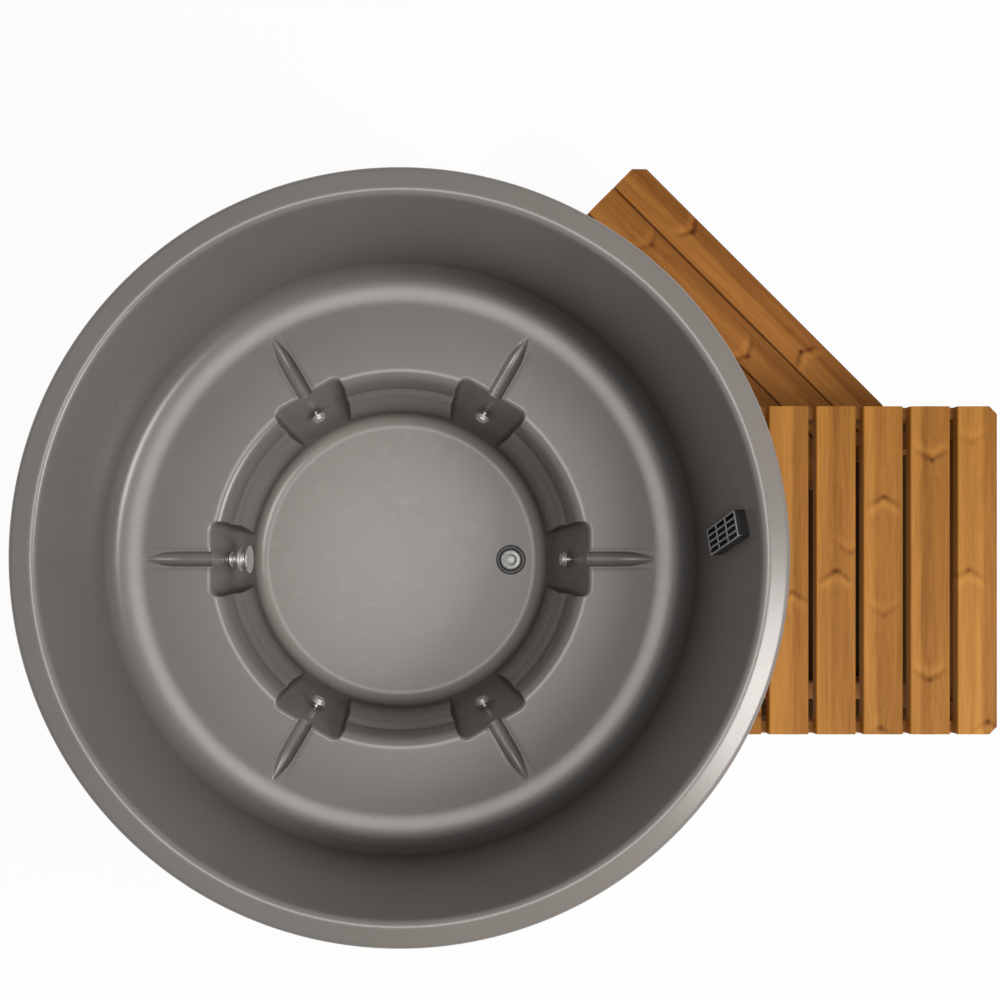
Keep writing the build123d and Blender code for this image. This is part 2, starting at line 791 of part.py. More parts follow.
# Elbow behind the wall: a flat cup on the tail, with a spigot straight down
cup_middle = intake_tail_plane.from_local_coords((0, 0, -cup_face - intake_spigot_back))
intake_radius = hypot(cup_middle.X, cup_middle.Y)
intake_line = degrees(atan2(cup_middle.Y, cup_middle.X))
spigot_radius = intake_hose / 2 - intake_hose_wall
spigot_length = 52.0
spigot_wall = 2.5
cup_back = 3.0
with BuildPart() as intake_elbow:
    with BuildSketch(intake_tail_plane.offset(-cup_face)):
        Circle(intake_cup / 2)
    extrude(amount=-intake_cup_depth)
    with BuildSketch(Plane.XY.offset(cup_middle.Z - spigot_length)):
        with Locations((cup_middle.X, cup_middle.Y)):
            Circle(spigot_radius - running_clearance)
    extrude(amount=spigot_length)
    with BuildSketch(intake_tail_plane.offset(-cup_face)):
        Circle(intake_tail / 2 + running_clearance)
    extrude(amount=-(intake_cup_depth - cup_back), mode=Mode.SUBTRACT)
    with BuildSketch(Plane.XY.offset(cup_middle.Z - spigot_length)):
        with Locations((cup_middle.X, cup_middle.Y)):
            Circle(spigot_radius - spigot_wall)
    extrude(amount=spigot_length, mode=Mode.SUBTRACT)
save(intake_elbow, "intake_elbow")

# Hose down inside the jacket, from just under the cup to the outlet elbow
hose_top = cup_middle.Z - intake_cup / 2 - moving_gap
outlet_socket = 24.0
outlet_bend = 20.0
with BuildPart() as intake_hose_piece:
    with BuildSketch(Plane.XY.offset(intake_outlet_height + outlet_socket)):
        with Locations((cup_middle.X, cup_middle.Y)):
            Circle(intake_hose / 2)
            Circle(spigot_radius, mode=Mode.SUBTRACT)
    extrude(amount=hose_top - intake_outlet_height - outlet_socket)
save(intake_hose_piece, "intake_hose")

outward = Vector(cos(radians(intake_line)), sin(radians(intake_line)), 0)
outlet_plane = Plane(
    origin=(cup_middle.X, cup_middle.Y, intake_outlet_height), z_dir=(outward.X, outward.Y, 0)
)
collar_start = board_corner + seat_gap - intake_radius
outlet_length = collar_start + intake_collar_thickness + intake_port_length
outlet_corner = Vector(cup_middle.X, cup_middle.Y, intake_outlet_height)
outlet_head = outlet_corner + Vector(0, 0, outlet_socket)
outlet_bore = spigot_radius - spigot_wall
with BuildPart() as intake_outlet:
    with BuildLine() as outlet_route:
        FilletPolyline(
            outlet_head, outlet_corner, outlet_corner + outward * outlet_length, radius=outlet_bend
        )
    with BuildSketch(Plane(origin=outlet_head, z_dir=(0, 0, -1))):
        Circle(intake_hose / 2)
    sweep(path=outlet_route.line)
    with BuildSketch(Plane(origin=outlet_head, z_dir=(0, 0, 1))):
        Circle(spigot_radius - running_clearance)
    extrude(amount=outlet_socket)
    with BuildSketch(outlet_plane.offset(collar_start)):
        Circle(intake_collar / 2)
    extrude(amount=intake_collar_thickness)
    with BuildSketch(Plane(origin=outlet_head, z_dir=(0, 0, -1))):
        Circle(outlet_bore)
    sweep(path=outlet_route.line, mode=Mode.SUBTRACT)
    with BuildSketch(Plane(origin=outlet_head, z_dir=(0, 0, 1))):
        Circle(outlet_bore)
    extrude(amount=outlet_socket, mode=Mode.SUBTRACT)
save(intake_outlet, "intake_outlet")

# Floor drain: flange with a seat for the plug, neck through the floor, nut and seal below
flange_top = floor_height + drain_flange_thickness
neck_foot = sump_top - drain_neck_hold
seat_radius = drain_plug / 2 + moving_gap
with BuildPart() as drain_flange_piece:
    with BuildSketch(Plane(origin=(drain_offset, 0, 0), z_dir=(0, -1, 0), x_dir=(1, 0, 0))):
        with BuildLine():
            FilletPolyline(
                (drain_bore / 2, neck_foot),
                (drain_neck / 2, neck_foot),
                (drain_neck / 2, floor_height),
                (drain_flange / 2, floor_height),
                (drain_flange / 2, flange_top),
                (seat_radius, flange_top),
                (seat_radius, flange_top - drain_seat_depth),
                (drain_bore / 2, flange_top - drain_seat_depth),
                radius=[0, 1, 0, 0.8, 2, 1, 0.5, 0.5],
                close=True,
            )
        make_face()
    revolve(axis=Axis((drain_offset, 0, 0), (0, 0, 1)))
save(drain_flange_piece, "drain_flange")

with BuildPart() as drain_seal:
    with BuildSketch(Plane.XY.offset(floor_height - shell)):
        with Locations((drain_offset, 0)):
            Circle(drain_nut / 2)
            Circle(drain_neck / 2 + running_clearance, mode=Mode.SUBTRACT)
    extrude(amount=-drain_seal_thickness)
save(drain_seal, "drain_seal")

nut_level = floor_height - shell - drain_seal_thickness
with BuildPart() as drain_back_nut:
    with BuildSketch(Plane.XY.offset(nut_level)):
        with Locations((drain_offset, 0)):
            RegularPolygon(drain_nut / 2, 8)
            Circle(drain_neck / 2 + running_clearance, mode=Mode.SUBTRACT)
    extrude(amount=-drain_nut_thickness)
save(drain_back_nut, "drain_back_nut")

# Plug: disc with a low dome in the seat, body down the bore with a groove for its seal ring
plug_foot = flange_top - drain_seat_depth
plug_top = plug_foot + drain_plug_thickness
ring_level = plug_foot - drain_plug_body_length * 0.55
ring_radius = drain_bore / 2 - running_clearance - drain_ring / 2
with BuildPart() as drain_plug_piece:
    with BuildSketch(Plane(origin=(drain_offset, 0, 0), z_dir=(0, -1, 0), x_dir=(1, 0, 0))):
        with BuildLine():
            FilletPolyline(
                (0, plug_foot - drain_plug_body_length),
                (drain_plug_body / 2, plug_foot - drain_plug_body_length),
                (drain_plug_body / 2, plug_foot),
                (drain_plug / 2, plug_foot),
                (drain_plug / 2, plug_top - drain_plug_bevel),
                (drain_plug / 2 - drain_plug_bevel_width, plug_top),
                (plug_boss / 2, plug_top),
                (plug_boss_top / 2, plug_top + plug_boss_height),
                (0, plug_top + plug_boss_height + plug_crown),
                radius=[0, 1.5, 0.5, 1, 1, 1.5, 1.5, 2, 0],
                close=True,
            )
        make_face()
    revolve(axis=Axis((drain_offset, 0, 0), (0, 0, 1)))
    with BuildSketch(Plane(origin=(drain_offset, 0, 0), z_dir=(0, -1, 0), x_dir=(1, 0, 0))):
        with Locations((ring_radius, ring_level)):
            Circle(drain_ring / 2 + running_clearance)
    revolve(axis=Axis((drain_offset, 0, 0), (0, 0, 1)), mode=Mode.SUBTRACT)
save(drain_plug_piece, "drain_plug")

with BuildPart() as plug_ring:
    with BuildSketch(Plane(origin=(drain_offset, 0, 0), z_dir=(0, -1, 0), x_dir=(1, 0, 0))):
        with Locations((ring_radius, ring_level)):
            Circle(drain_ring / 2)
    revolve(axis=Axis((drain_offset, 0, 0), (0, 0, 1)))
save(plug_ring, "plug_ring")

# Sump under the floor: a low cup round the neck with a socket for the pipe
with BuildPart() as drain_sump:
    with BuildSketch(Plane.XY.offset(sump_bottom)):
        with Locations((drain_offset, 0)):
            Circle(sump_radius)
    extrude(amount=sump_top - sump_bottom)
    with BuildSketch(Plane(origin=(drain_offset, 0, drain_axis_height), z_dir=(0, -1, 0))):
        Circle(drain_pipe / 2 + sump_wall)
    extrude(amount=sump_radius + sump_socket)
    with BuildSketch(Plane.XY.offset(sump_top)):
        with Locations((drain_offset, 0)):
            Circle(drain_neck / 2 + running_clearance)
    extrude(amount=-(sump_top - sump_bottom - sump_wall), mode=Mode.SUBTRACT)
    with BuildSketch(Plane(origin=(drain_offset, 0, drain_axis_height), z_dir=(0, -1, 0))):
        Circle(drain_pipe / 2 - drain_pipe_wall)
    extrude(amount=sump_radius + sump_socket, mode=Mode.SUBTRACT)
    with BuildSketch(
        Plane(origin=(drain_offset, -sump_radius - sump_socket, drain_axis_height), z_dir=(0, 1, 0))
    ):
        Circle(drain_pipe / 2 + running_clearance)
    extrude(amount=sump_hold, mode=Mode.SUBTRACT)
save(drain_sump, "drain_sump")

pipe_start = sump_radius + sump_socket - sump_hold
valve_end = valve_distance - valve_half_length
pipe_end = valve_end + drain_socket
with BuildPart() as drain_pipe_piece:
    with BuildSketch(
        Plane(origin=(drain_offset, -pipe_start, drain_axis_height), z_dir=(0, -1, 0))
    ):
        Circle(drain_pipe / 2)
        Circle(drain_pipe / 2 - drain_pipe_wall, mode=Mode.SUBTRACT)
    extrude(amount=pipe_end - pipe_start)
save(drain_pipe_piece, "drain_pipe")

# Ball valve on the pipe's end; its profile is drawn along the pipe and turned about it
valve_axis = Axis((drain_offset, 0, drain_axis_height), (0, -1, 0))
valve_frame = Plane(
    origin=(drain_offset, -valve_distance, drain_axis_height), x_dir=(0, -1, 0), z_dir=(1, 0, 0)
)
cavity = ball_radius + moving_gap
cavity_wide = cavity + moving_gap / 2
cavity_back = cavity * valve_cone
socket_radius = drain_pipe / 2 + running_clearance
collar_radius = valve_body / 2 - 1
with BuildPart() as valve_housing:
    with BuildSketch(valve_frame):
        with BuildLine():
            FilletPolyline(
                (-valve_half_length, socket_radius),
                (-valve_half_length, collar_radius),
                (-valve_half_length + valve_collar, collar_radius),
                (-valve_half_length + valve_collar, collar_radius - valve_wall),
                (-valve_shoulder, valve_body / 2),
                (valve_mouth, valve_body / 2),
                (valve_mouth, cavity_wide),
                (0, cavity_wide),
                (-cavity, cavity_back),
                (-cavity - 2, valve_port / 2),
                (-valve_half_length + drain_socket, valve_port / 2),
                (-valve_half_length + drain_socket, socket_radius),
                radius=[0, 1, 1, 0.6, 2, 1, 0, 0, 0, 0, 0, 0],
                close=True,
            )
        make_face()
    revolve(axis=valve_axis)
    with BuildSketch(Plane.XY.offset(drain_axis_height + cavity)):
        with Locations((drain_offset, -valve_distance)):
            Circle(stem_boss / 2)
    extrude(amount=stem_boss_height - cavity)
    with BuildSketch(valve_frame):
        with BuildLine():
            Polyline(
                (-cavity, 0),
                (-cavity, cavity_back),
                (0, cavity_wide),
                (valve_mouth, cavity_wide),
                (valve_mouth, 0),
                close=True,
            )
        make_face()
    revolve(axis=valve_axis, mode=Mode.SUBTRACT)
    with BuildSketch(Plane.XY.offset(drain_axis_height)):
        with Locations((drain_offset, -valve_distance)):
            Circle(stem_radius + running_clearance)
    extrude(amount=stem_boss_height, mode=Mode.SUBTRACT)
save(valve_housing, "valve_body")

# Screwed end piece with the hose tail: barbed outside, bored right through
tail_end = valve_half_length + tail_length
tail_bore = valve_port / 2 - tail_wall
ball_stop = sqrt((ball_radius + moving_gap) ** 2 - tail_bore ** 2)
with BuildPart() as hose_tail:
    with BuildSketch(valve_frame):
        with BuildLine():
            points = [
                (ball_stop, tail_bore),
                (valve_mouth, cavity_wide - hole_clearance),
                (valve_mouth, collar_radius),
                (valve_half_length, collar_radius),
                (valve_half_length, tail_radius - tail_barb),
            ]
            barb_pitch = tail_length / tail_barbs
            for k in range(tail_barbs):
                foot = valve_half_length + k * barb_pitch
                points += [(foot + tail_barb_foot, tail_radius - tail_barb)]
                points += [(foot + tail_barb_foot, tail_radius)]
                points += [(foot + barb_pitch, tail_radius - tail_barb)]
            points += [(tail_end, tail_bore)]
            Polyline(*points, close=True)
        make_face()
    revolve(axis=valve_axis)
save(hose_tail, "hose_tail")

# Ball, drawn shut: its port lies across the pipe; its stem comes up through the boss
handle_level = drain_axis_height + stem_boss_height + moving_gap
stem_top = handle_level + handle_thickness + handle_nut_thickness + stem_end
with BuildPart() as valve_ball:
    with Locations((drain_offset, -valve_distance, drain_axis_height)):
        Sphere(ball_radius)
    with BuildSketch(
        Plane(origin=(drain_offset, -valve_distance, drain_axis_height), z_dir=(1, 0, 0))
    ):
        Circle(tail_bore)
    extrude(amount=2 * ball_radius, both=True, mode=Mode.SUBTRACT)
    with BuildSketch(Plane.XY.offset(drain_axis_height + stem_root)):
        with Locations((drain_offset, -valve_distance)):
            Circle(stem_radius)
    extrude(amount=stem_top - drain_axis_height - stem_root)
save(valve_ball, "valve_ball")

with BuildPart() as valve_handle:
    with BuildSketch(Plane.XY.offset(handle_level)):
        with Locations((drain_offset + handle_length / 2, -valve_distance)):
            SlotOverall(handle_length + 2 * handle_width, handle_width)
        with Locations((drain_offset, -valve_distance)):
            Circle(handle_hub / 2)
            Circle(stem_radius, mode=Mode.SUBTRACT)
    extrude(amount=handle_thickness)
    grip_plane = Plane.XY.offset(handle_level + handle_thickness)
    with BuildSketch(grip_plane):
        with Locations((drain_offset + handle_grip_middle, -valve_distance)):
            SlotOverall(handle_grip, handle_grip_width)
    extrude(amount=handle_thickness)
save(valve_handle, "valve_handle")

with BuildPart() as handle_nut:
    with BuildSketch(Plane.XY.offset(handle_level + handle_thickness)):
        with Locations((drain_offset, -valve_distance)):
            RegularPolygon(handle_nut_size / 2, 6)
            Circle(stem_radius, mode=Mode.SUBTRACT)
    extrude(amount=handle_nut_thickness)
save(handle_nut, "handle_nut")

# Joists on the ground, cut to lengths that stay inside the boards
with BuildPart() as base_joists:
    for row in joist_rows:
        edge = abs(row) + joist_width / 2
        half_length = sqrt(frame_radius ** 2 - edge ** 2) - joist_end_gap
        with BuildSketch(Plane.XY):
            with Locations((row, 0)):
                Rectangle(joist_width, 2 * half_length)
        extrude(amount=joist_height)
    chamfer(base_joists.edges().filter_by(Axis.Z), joist_chamfer)
save(base_joists, "base_joists")

# Base in two half discs whose joint lies on the middle joist
with BuildPart() as base_panels:
    with BuildSketch(Plane.XY.offset(joist_height)):
        Circle(frame_radius)
        Rectangle(base_joint, 2 * frame_radius, mode=Mode.SUBTRACT)
        with Locations((drain_offset, 0)):
            Circle(base_drain_hole / 2, mode=Mode.SUBTRACT)
    extrude(amount=base_thickness)
save(base_panels, "base_panels")

# Curved plates under the bench, between the grooves' ribs, each on two posts
plate_level = bench_height - shell - bench_plate_thickness
plate_side = bench_plate_outer * tan(radians(bench_plate_half_angle))
with BuildPart() as bench_plate:
    with BuildSketch(Plane.XY.offset(plate_level)):
        Circle(bench_plate_outer)
        Circle(bench_plate_inner, mode=Mode.SUBTRACT)
        with BuildLine():
            Polyline(
                (0, 0), (bench_plate_outer, -plate_side), (bench_plate_outer, plate_side), close=True
            )
        make_face(mode=Mode.INTERSECT)
    extrude(amount=bench_plate_thickness)
with BuildPart() as bench_plates:
    with PolarLocations(0, pocket_count, start_angle=pocket_step / 2):
        add(bench_plate.part)
save(bench_plates, "bench_plates")

base_top = joist_height + base_thickness
with BuildPart() as bench_posts:
    with BuildSketch(Plane.XY.offset(base_top)):
        with PolarLocations(post_radius, 2 * pocket_count, start_angle=post_angle):
            Rectangle(post_size, post_size)
    extrude(amount=plate_level - base_top)
save(bench_posts, "bench_posts")

# Boards: one is drawn facing +X and repeated round the axis
with BuildPart() as board_blank:
    with BuildSketch(Plane.XY.offset(board_bottom)):
        with BuildLine():
            Polyline(
                (board_inner, -half_inner),
                (board_face - board_chamfer, -half_outer + board_chamfer / 8),
                (board_face, -half_outer + board_chamfer),
                (board_face, half_outer - board_chamfer),
                (board_face - board_chamfer, half_outer - board_chamfer / 8),
                (board_inner, half_inner),
                close=True,
            )
        make_face()
    extrude(amount=board_top - board_bottom)
with BuildPart() as cladding_boards:
    with PolarLocations(0, board_count):
        add(board_blank.part)
    # Ways through the boards for the pipe and the two hoses
    pipe_way = drain_pipe + 2 * pipe_clearance
    pipe_plane = Plane(
        origin=(drain_offset, 0, drain_axis_height), x_dir=(1, 0, 0), z_dir=(0, -1, 0)
    )
    with BuildSketch(pipe_plane):
        Circle(pipe_way / 2)
        with Locations((0, -drain_axis_height / 2)):
            Rectangle(pipe_way, drain_axis_height)
    extrude(amount=board_face + board_thickness, mode=Mode.SUBTRACT)
    with BuildSketch(Plane(origin=(0, 0, return_height), z_dir=(-1, 0, 0))):
        Circle(return_hose / 2 + hole_clearance)
    extrude(amount=board_face + board_thickness, mode=Mode.SUBTRACT)
    with BuildSketch(outlet_plane):
        Circle(intake_hose / 2 + hole_clearance)
    extrude(amount=outlet_length, mode=Mode.SUBTRACT)
save(cladding_boards, "cladding_boards")

# Batten hoop that carries the rim and backs the boards' tops
rim_under = rim_height - rim_fall * (frame_radius - mouth_radius) / (rim_radius - mouth_radius)
hoop_top = rim_under - shell - seat_gap
with BuildPart() as top_hoop:
    with BuildSketch(Plane.XY.offset(hoop_top)):
        Circle(frame_radius)
        Circle(frame_radius - top_batten_width, mode=Mode.SUBTRACT)
    extrude(amount=-top_batten_height)
save(top_hoop, "top_hoop")

# Jacket of foam between the wall and the boards, with channels for the hoses
jacket_top = hoop_top - top_batten_height - seat_gap
dry_wall_step = shell * sqrt(1 + wall_slope ** 2) + seat_gap
jacket_knee = bench_height + bench_cove
low_jacket_inner = wall_radius(bench_height) + dry_wall_step + jacket_gap
with BuildPart() as insulation_jacket:
    with BuildSketch(Plane.XZ):
        with BuildLine():
            Polyline(
                (low_jacket_inner, jacket_foot),
                (frame_radius, jacket_foot),
                (frame_radius, jacket_top),
                (wall_radius(jacket_top) + dry_wall_step, jacket_top),
                (wall_radius(jacket_knee) + dry_wall_step, jacket_knee),
                (low_jacket_inner, bench_height - shell),
                close=True,
            )
        make_face()
    revolve(axis=Axis.Z)
    with BuildSketch(Plane.XY.offset(jacket_foot)):
        with Locations(Location((cup_middle.X, cup_middle.Y, 0), (0, 0, intake_line))):
            Rectangle(2 * jacket_channel, jacket_channel)
    extrude(amount=cup_middle.Z + jacket_channel - jacket_foot, mode=Mode.SUBTRACT)
    with BuildSketch(intake_tail_plane):
        Circle(intake_nut / 2 + jacket_gap)
        with Locations((0, intake_tail_drop)):
            with GridLocations(0, intake_screw_pitch, 1, 2):
                Circle(intake_screw)
    extrude(amount=-6 * shell, mode=Mode.SUBTRACT)
    with BuildSketch(Plane(origin=(0, 0, return_height), z_dir=(-1, 0, 0))):
        Circle(return_hose / 2 + hole_clearance)
    extrude(amount=board_face, mode=Mode.SUBTRACT)
save(insulation_jacket, "insulation_jacket")

# Steel bands, each with two lugs drawn together by a bolt
band_inner = board_corner + seat_gap
band_plane = Plane.XY.rotated((0, 0, band_azimuth))
band_outer = band_inner + band_thickness
lug_middle = band_outer + lug_reach / 2
lug_side = band_gap / 2 + lug_thickness / 2


def band(level):
    """Band round the boards, open at its lugs."""
    with BuildPart() as ring:
        with BuildSketch(band_plane.offset(level - band_height / 2)):
            Circle(band_outer)
            Circle(band_inner, mode=Mode.SUBTRACT)
            with Locations((band_inner, 0)):
                Rectangle(8 * band_thickness, band_gap, mode=Mode.SUBTRACT)
            with Locations((band_outer - lug_root, lug_side), (band_outer - lug_root, -lug_side)):
                Rectangle(lug_reach + lug_root, lug_thickness, align=(Align.MIN, Align.CENTER))
        extrude(amount=band_height)
        lug_face = Plane(
            origin=band_plane.from_local_coords((lug_middle, 0, level)),
            z_dir=band_plane.y_dir,
        )
        with BuildSketch(lug_face):
            Circle(lug_bolt / 2 + hole_clearance)
        extrude(amount=band_gap, both=True, mode=Mode.SUBTRACT)
    return ring


save(band(band_levels[0]), "lower_band")
save(band(band_levels[1]), "upper_band")

bolt_reach = band_gap / 2 + lug_thickness
with BuildPart() as band_bolts:
    for level in band_levels:
        lug_face = Plane(
            origin=band_plane.from_local_coords((lug_middle, 0, level)),
            z_dir=band_plane.y_dir,
        )
        with BuildSketch(lug_face.offset(-bolt_reach)):
            Circle(lug_bolt / 2)
        extrude(amount=2 * bolt_reach + lug_bolt_end)
        with BuildSketch(lug_face.offset(-bolt_reach)):
            RegularPolygon(lug_bolt, 6)
        extrude(amount=-lug_bolt_head)
save(band_bolts, "band_bolts")

with BuildPart() as band_nuts:
    for level in band_levels:
        lug_face = Plane(
            origin=band_plane.from_local_coords((lug_middle, 0, level)),
            z_dir=band_plane.y_dir,
        )
        with BuildSketch(lug_face.offset(bolt_reach)):
            RegularPolygon(lug_bolt, 6)
            Circle(lug_bolt / 2 + running_clearance, mode=Mode.SUBTRACT)
        extrude(amount=lug_nut_thickness)
save(band_nuts, "band_nuts")

# Upper step
slat_foot = platform_height - slat_thickness
slat_back = platform_middle - platform_depth / 2
slat_front = platform_middle + platform_depth / 2
slat_starts = [
    platform_edge - slat_width - k * slat_pitch for k in reversed(range(slat_count))
]
bearer_foot = slat_foot - bearer_height
bearer_end = platform_edge - bearer_setback
outer_leg_start = bearer_end - leg_width
leg_back = slat_back + bearer_width
leg_front = slat_front - bearer_width


def crowned(width, thickness, crown):
    """Corners and rounds of a board's section, its top falling to both sides of a ridge."""
    corners = [
        (-width / 2, 0),
        (width / 2, 0),
        (width / 2, thickness - crown),
        (0, thickness),
        (-width / 2, thickness - crown),
    ]
    rounds = [slat_foot_round, slat_foot_round, slat_edge_round, slat_ridge_round, slat_edge_round]
    return corners, rounds


for k, start in enumerate(slat_starts):
    middle = start + slat_width / 2
    corners, rounds = crowned(slat_width, slat_thickness, slat_crown)
    slat_plane = Plane(origin=(middle, slat_back, slat_foot), x_dir=(1, 0, 0), z_dir=(0, -1, 0))
    with BuildPart() as slat:
        with BuildSketch(slat_plane):
            with BuildLine():
                FilletPolyline(*corners, radius=rounds, close=True)
            make_face()
        extrude(amount=-platform_depth)
        if k == 0:
            # Scribed to the round of the boards
            with BuildSketch(Plane.XY.offset(slat_foot)):
                Circle(board_corner + scribe_gap)
            extrude(amount=2 * slat_thickness, mode=Mode.SUBTRACT)
        if k == slat_count - 1:
            corner_at = [(platform_edge, slat_back), (platform_edge, slat_front)]
            with BuildSketch(Plane.XY.offset(slat_foot)):
                with Locations(*corner_at):
                    Rectangle(slat_corner_cut * sqrt(2), slat_corner_cut * sqrt(2), rotation=45)
            extrude(amount=2 * slat_thickness, mode=Mode.SUBTRACT)
    save(slat, f"platform_slat_{k + 1}")

bolt_rows = [bearer_foot + bearer_height * share for share in fastener_shares]
bolt_columns = (inner_leg_start + leg_width / 2, outer_leg_start + leg_width / 2)
bolt_points = [(x, z) for x in bolt_columns for z in bolt_rows]
front_plane = Plane(origin=(0, slat_front, 0), x_dir=(1, 0, 0), z_dir=(0, -1, 0))
with BuildPart() as platform_bearers:
    for face in (slat_back, slat_front - bearer_width):
        bearer_plane = Plane(origin=(0, face, 0), x_dir=(1, 0, 0), z_dir=(0, -1, 0))
        with BuildSketch(bearer_plane):
            with Locations(((bearer_start + bearer_end) / 2, bearer_foot + bearer_height / 2)):
                Rectangle(bearer_end - bearer_start, bearer_height)
        extrude(amount=-bearer_width)
    with BuildSketch(front_plane):
        with Locations(*bolt_points):
            Circle(coach_bolt / 2 + hole_clearance)
    extrude(amount=platform_depth, mode=Mode.SUBTRACT)
save(platform_bearers, "platform_bearers")

leg_middles = [
    (x + leg_width / 2, y)
    for x in (inner_leg_start, outer_leg_start)
    for y in (leg_back + leg_depth / 2, leg_front - leg_depth / 2)
]
with BuildPart() as platform_legs:
    with BuildSketch(Plane.XY):
        with Locations(*leg_middles):
            Rectangle(leg_width, leg_depth)
    extrude(amount=slat_foot)
    chamfer(platform_legs.edges().filter_by(Axis.Z), timber_chamfer)
    with BuildSketch(front_plane):
        with Locations(*bolt_points):
            Circle(coach_bolt / 2 + hole_clearance)
    extrude(amount=platform_depth, mode=Mode.SUBTRACT)
save(platform_legs, "platform_legs")

rail_length = leg_front - leg_back - 2 * leg_depth
wall_screw_level = bearer_foot + bearer_height / 2
wall_screw_points = [(y, wall_screw_level) for y in (-wall_screw_pitch / 2, wall_screw_pitch / 2)]
with BuildPart() as platform_wall_rail:
    with BuildSketch(Plane.XY.offset(bearer_foot)):
        with Locations((board_face + rail_thickness / 2, platform_middle)):
            Rectangle(rail_thickness, rail_length)
    extrude(amount=bearer_height)
    chamfer(platform_wall_rail.edges().filter_by(Axis.Y), timber_chamfer)
    with BuildSketch(Plane(origin=(board_face, 0, 0), x_dir=(0, 1, 0), z_dir=(1, 0, 0))):
        with Locations(*wall_screw_points):
            Circle(screw_shank / 2 + hole_clearance)
    extrude(amount=rail_thickness, mode=Mode.SUBTRACT)
save(platform_wall_rail, "platform_wall_rail")

with BuildPart() as platform_rails:
    with BuildSketch(Plane.XY.offset(bearer_foot)):
        with Locations((bearer_end - rail_thickness / 2, platform_middle)):
            Rectangle(rail_thickness, rail_length)
    extrude(amount=bearer_height)
    with BuildSketch(Plane.XY.offset(foot_rail_level)):
        with Locations((bearer_end - rail_thickness / 2, platform_middle)):
            Rectangle(rail_thickness, rail_length)
        with Locations(
            ((inner_leg_start + leg_width + outer_leg_start) / 2, leg_back + leg_depth / 2)
        ):
            Rectangle(outer_leg_start - inner_leg_start - leg_width, leg_depth)
    extrude(amount=foot_rail_height)
save(platform_rails, "platform_rails")


def coach_bolt_at(plane, grip):
    """Round-headed bolt with its head on the plane and its shank behind it."""
    with BuildPart() as bolt:
        with BuildSketch(Plane.XZ):
            with BuildLine():
                Line((0, 0), (coach_head / 2, 0))
                ThreePointArc(
                    (coach_head / 2, 0),
                    dome_middle(coach_head / 2, 0, coach_head_height),
                    (0, coach_head_height),
                )
                Line((0, coach_head_height), (0, 0))
            make_face()
        revolve(axis=Axis.Z)
        with BuildSketch(Plane.XY):
            Circle(coach_bolt / 2)
        extrude(amount=-grip)
    return plane.location * bolt.part


bolt_grip = bearer_width + leg_depth
with BuildPart() as platform_bolts:
    for x, z in bolt_points:
        back = Plane(origin=(x, slat_back, z), x_dir=(1, 0, 0), z_dir=(0, -1, 0))
        front = Plane(origin=(x, slat_front, z), x_dir=(-1, 0, 0), z_dir=(0, 1, 0))
        add(coach_bolt_at(back, bolt_grip))
        add(coach_bolt_at(front, bolt_grip))
save(platform_bolts, "platform_bolts")

# Lower step, drawn along its own axes: u along the boards, v out from the tub
step_frame = Plane(origin=(0, 0, 0), x_dir=(1, -1, 0), z_dir=(0, 0, 1))
step_foot = step_height - slat_thickness
step_near_end = step_far_end - step_length
step_middle = step_near_end + step_length / 2
step_pitch = slat_width + step_board_gap
for k in range(step_boards):
    line = step_outer - slat_width / 2 - k * step_pitch
    corners, rounds = crowned(slat_width, slat_thickness, slat_crown)
    origin = step_frame.from_local_coords((step_near_end, line, step_foot))
    board_plane = Plane(origin=origin, x_dir=step_frame.y_dir, z_dir=step_frame.x_dir)
    with BuildPart() as step_board:
        with BuildSketch(board_plane):
            with BuildLine():
                FilletPolyline(*corners, radius=rounds, close=True)
            make_face()
        extrude(amount=step_length)
        if k == 0:
            ends = [(step_near_end, step_outer), (step_far_end, step_outer)]
            with BuildSketch(step_frame.offset(step_foot)):
                with Locations(*ends):
                    Rectangle(step_corner_cut * sqrt(2), step_corner_cut * sqrt(2), rotation=45)
            extrude(amount=2 * slat_thickness, mode=Mode.SUBTRACT)
    save(step_board, f"step_board_{k + 1}")

step_inner = step_outer - slat_width - (step_boards - 1) * step_pitch
rail_face_line = step_outer - step_end_inset
bearer_out = rail_face_line - step_front_rail
bearer_in = step_inner + step_end_inset
bearer_level = step_foot - step_bearer_height
near_line = step_near_end + step_end_inset + step_bearer_width / 2
far_line = step_far_end - step_end_inset - step_bearer_width / 2
bearer_lines = ((near_line, bearer_in), (0, board_face), (far_line, bearer_in))
with BuildPart() as step_bearers:
    for line, start in bearer_lines:
        with BuildSketch(step_frame.offset(bearer_level)):
            with Locations((line, (start + bearer_out) / 2)):
                Rectangle(step_bearer_width, bearer_out - start)
        extrude(amount=step_bearer_height)
save(step_bearers, "step_bearers")

with BuildPart() as step_front_rail_piece:
    with BuildSketch(step_frame.offset(bearer_level)):
        with Locations((step_middle, rail_face_line - step_front_rail / 2)):
            Rectangle(step_length - 2 * step_end_inset, step_front_rail)
    extrude(amount=step_bearer_height)
save(step_front_rail_piece, "step_front_rail")

leg_points = [
    (near_line, bearer_in + step_leg / 2),
    (near_line, bearer_out - step_leg / 2),
    (0, bearer_out - step_leg / 2),
    (far_line, bearer_in + step_leg / 2),
    (far_line, bearer_out - step_leg / 2),
]
with BuildPart() as step_legs:
    with BuildSketch(step_frame):
        with Locations(*leg_points):
            Rectangle(step_leg, step_leg)
    extrude(amount=bearer_level)
    chamfer(step_legs.edges().filter_by(Axis.Z), timber_chamfer)
save(step_legs, "step_legs")

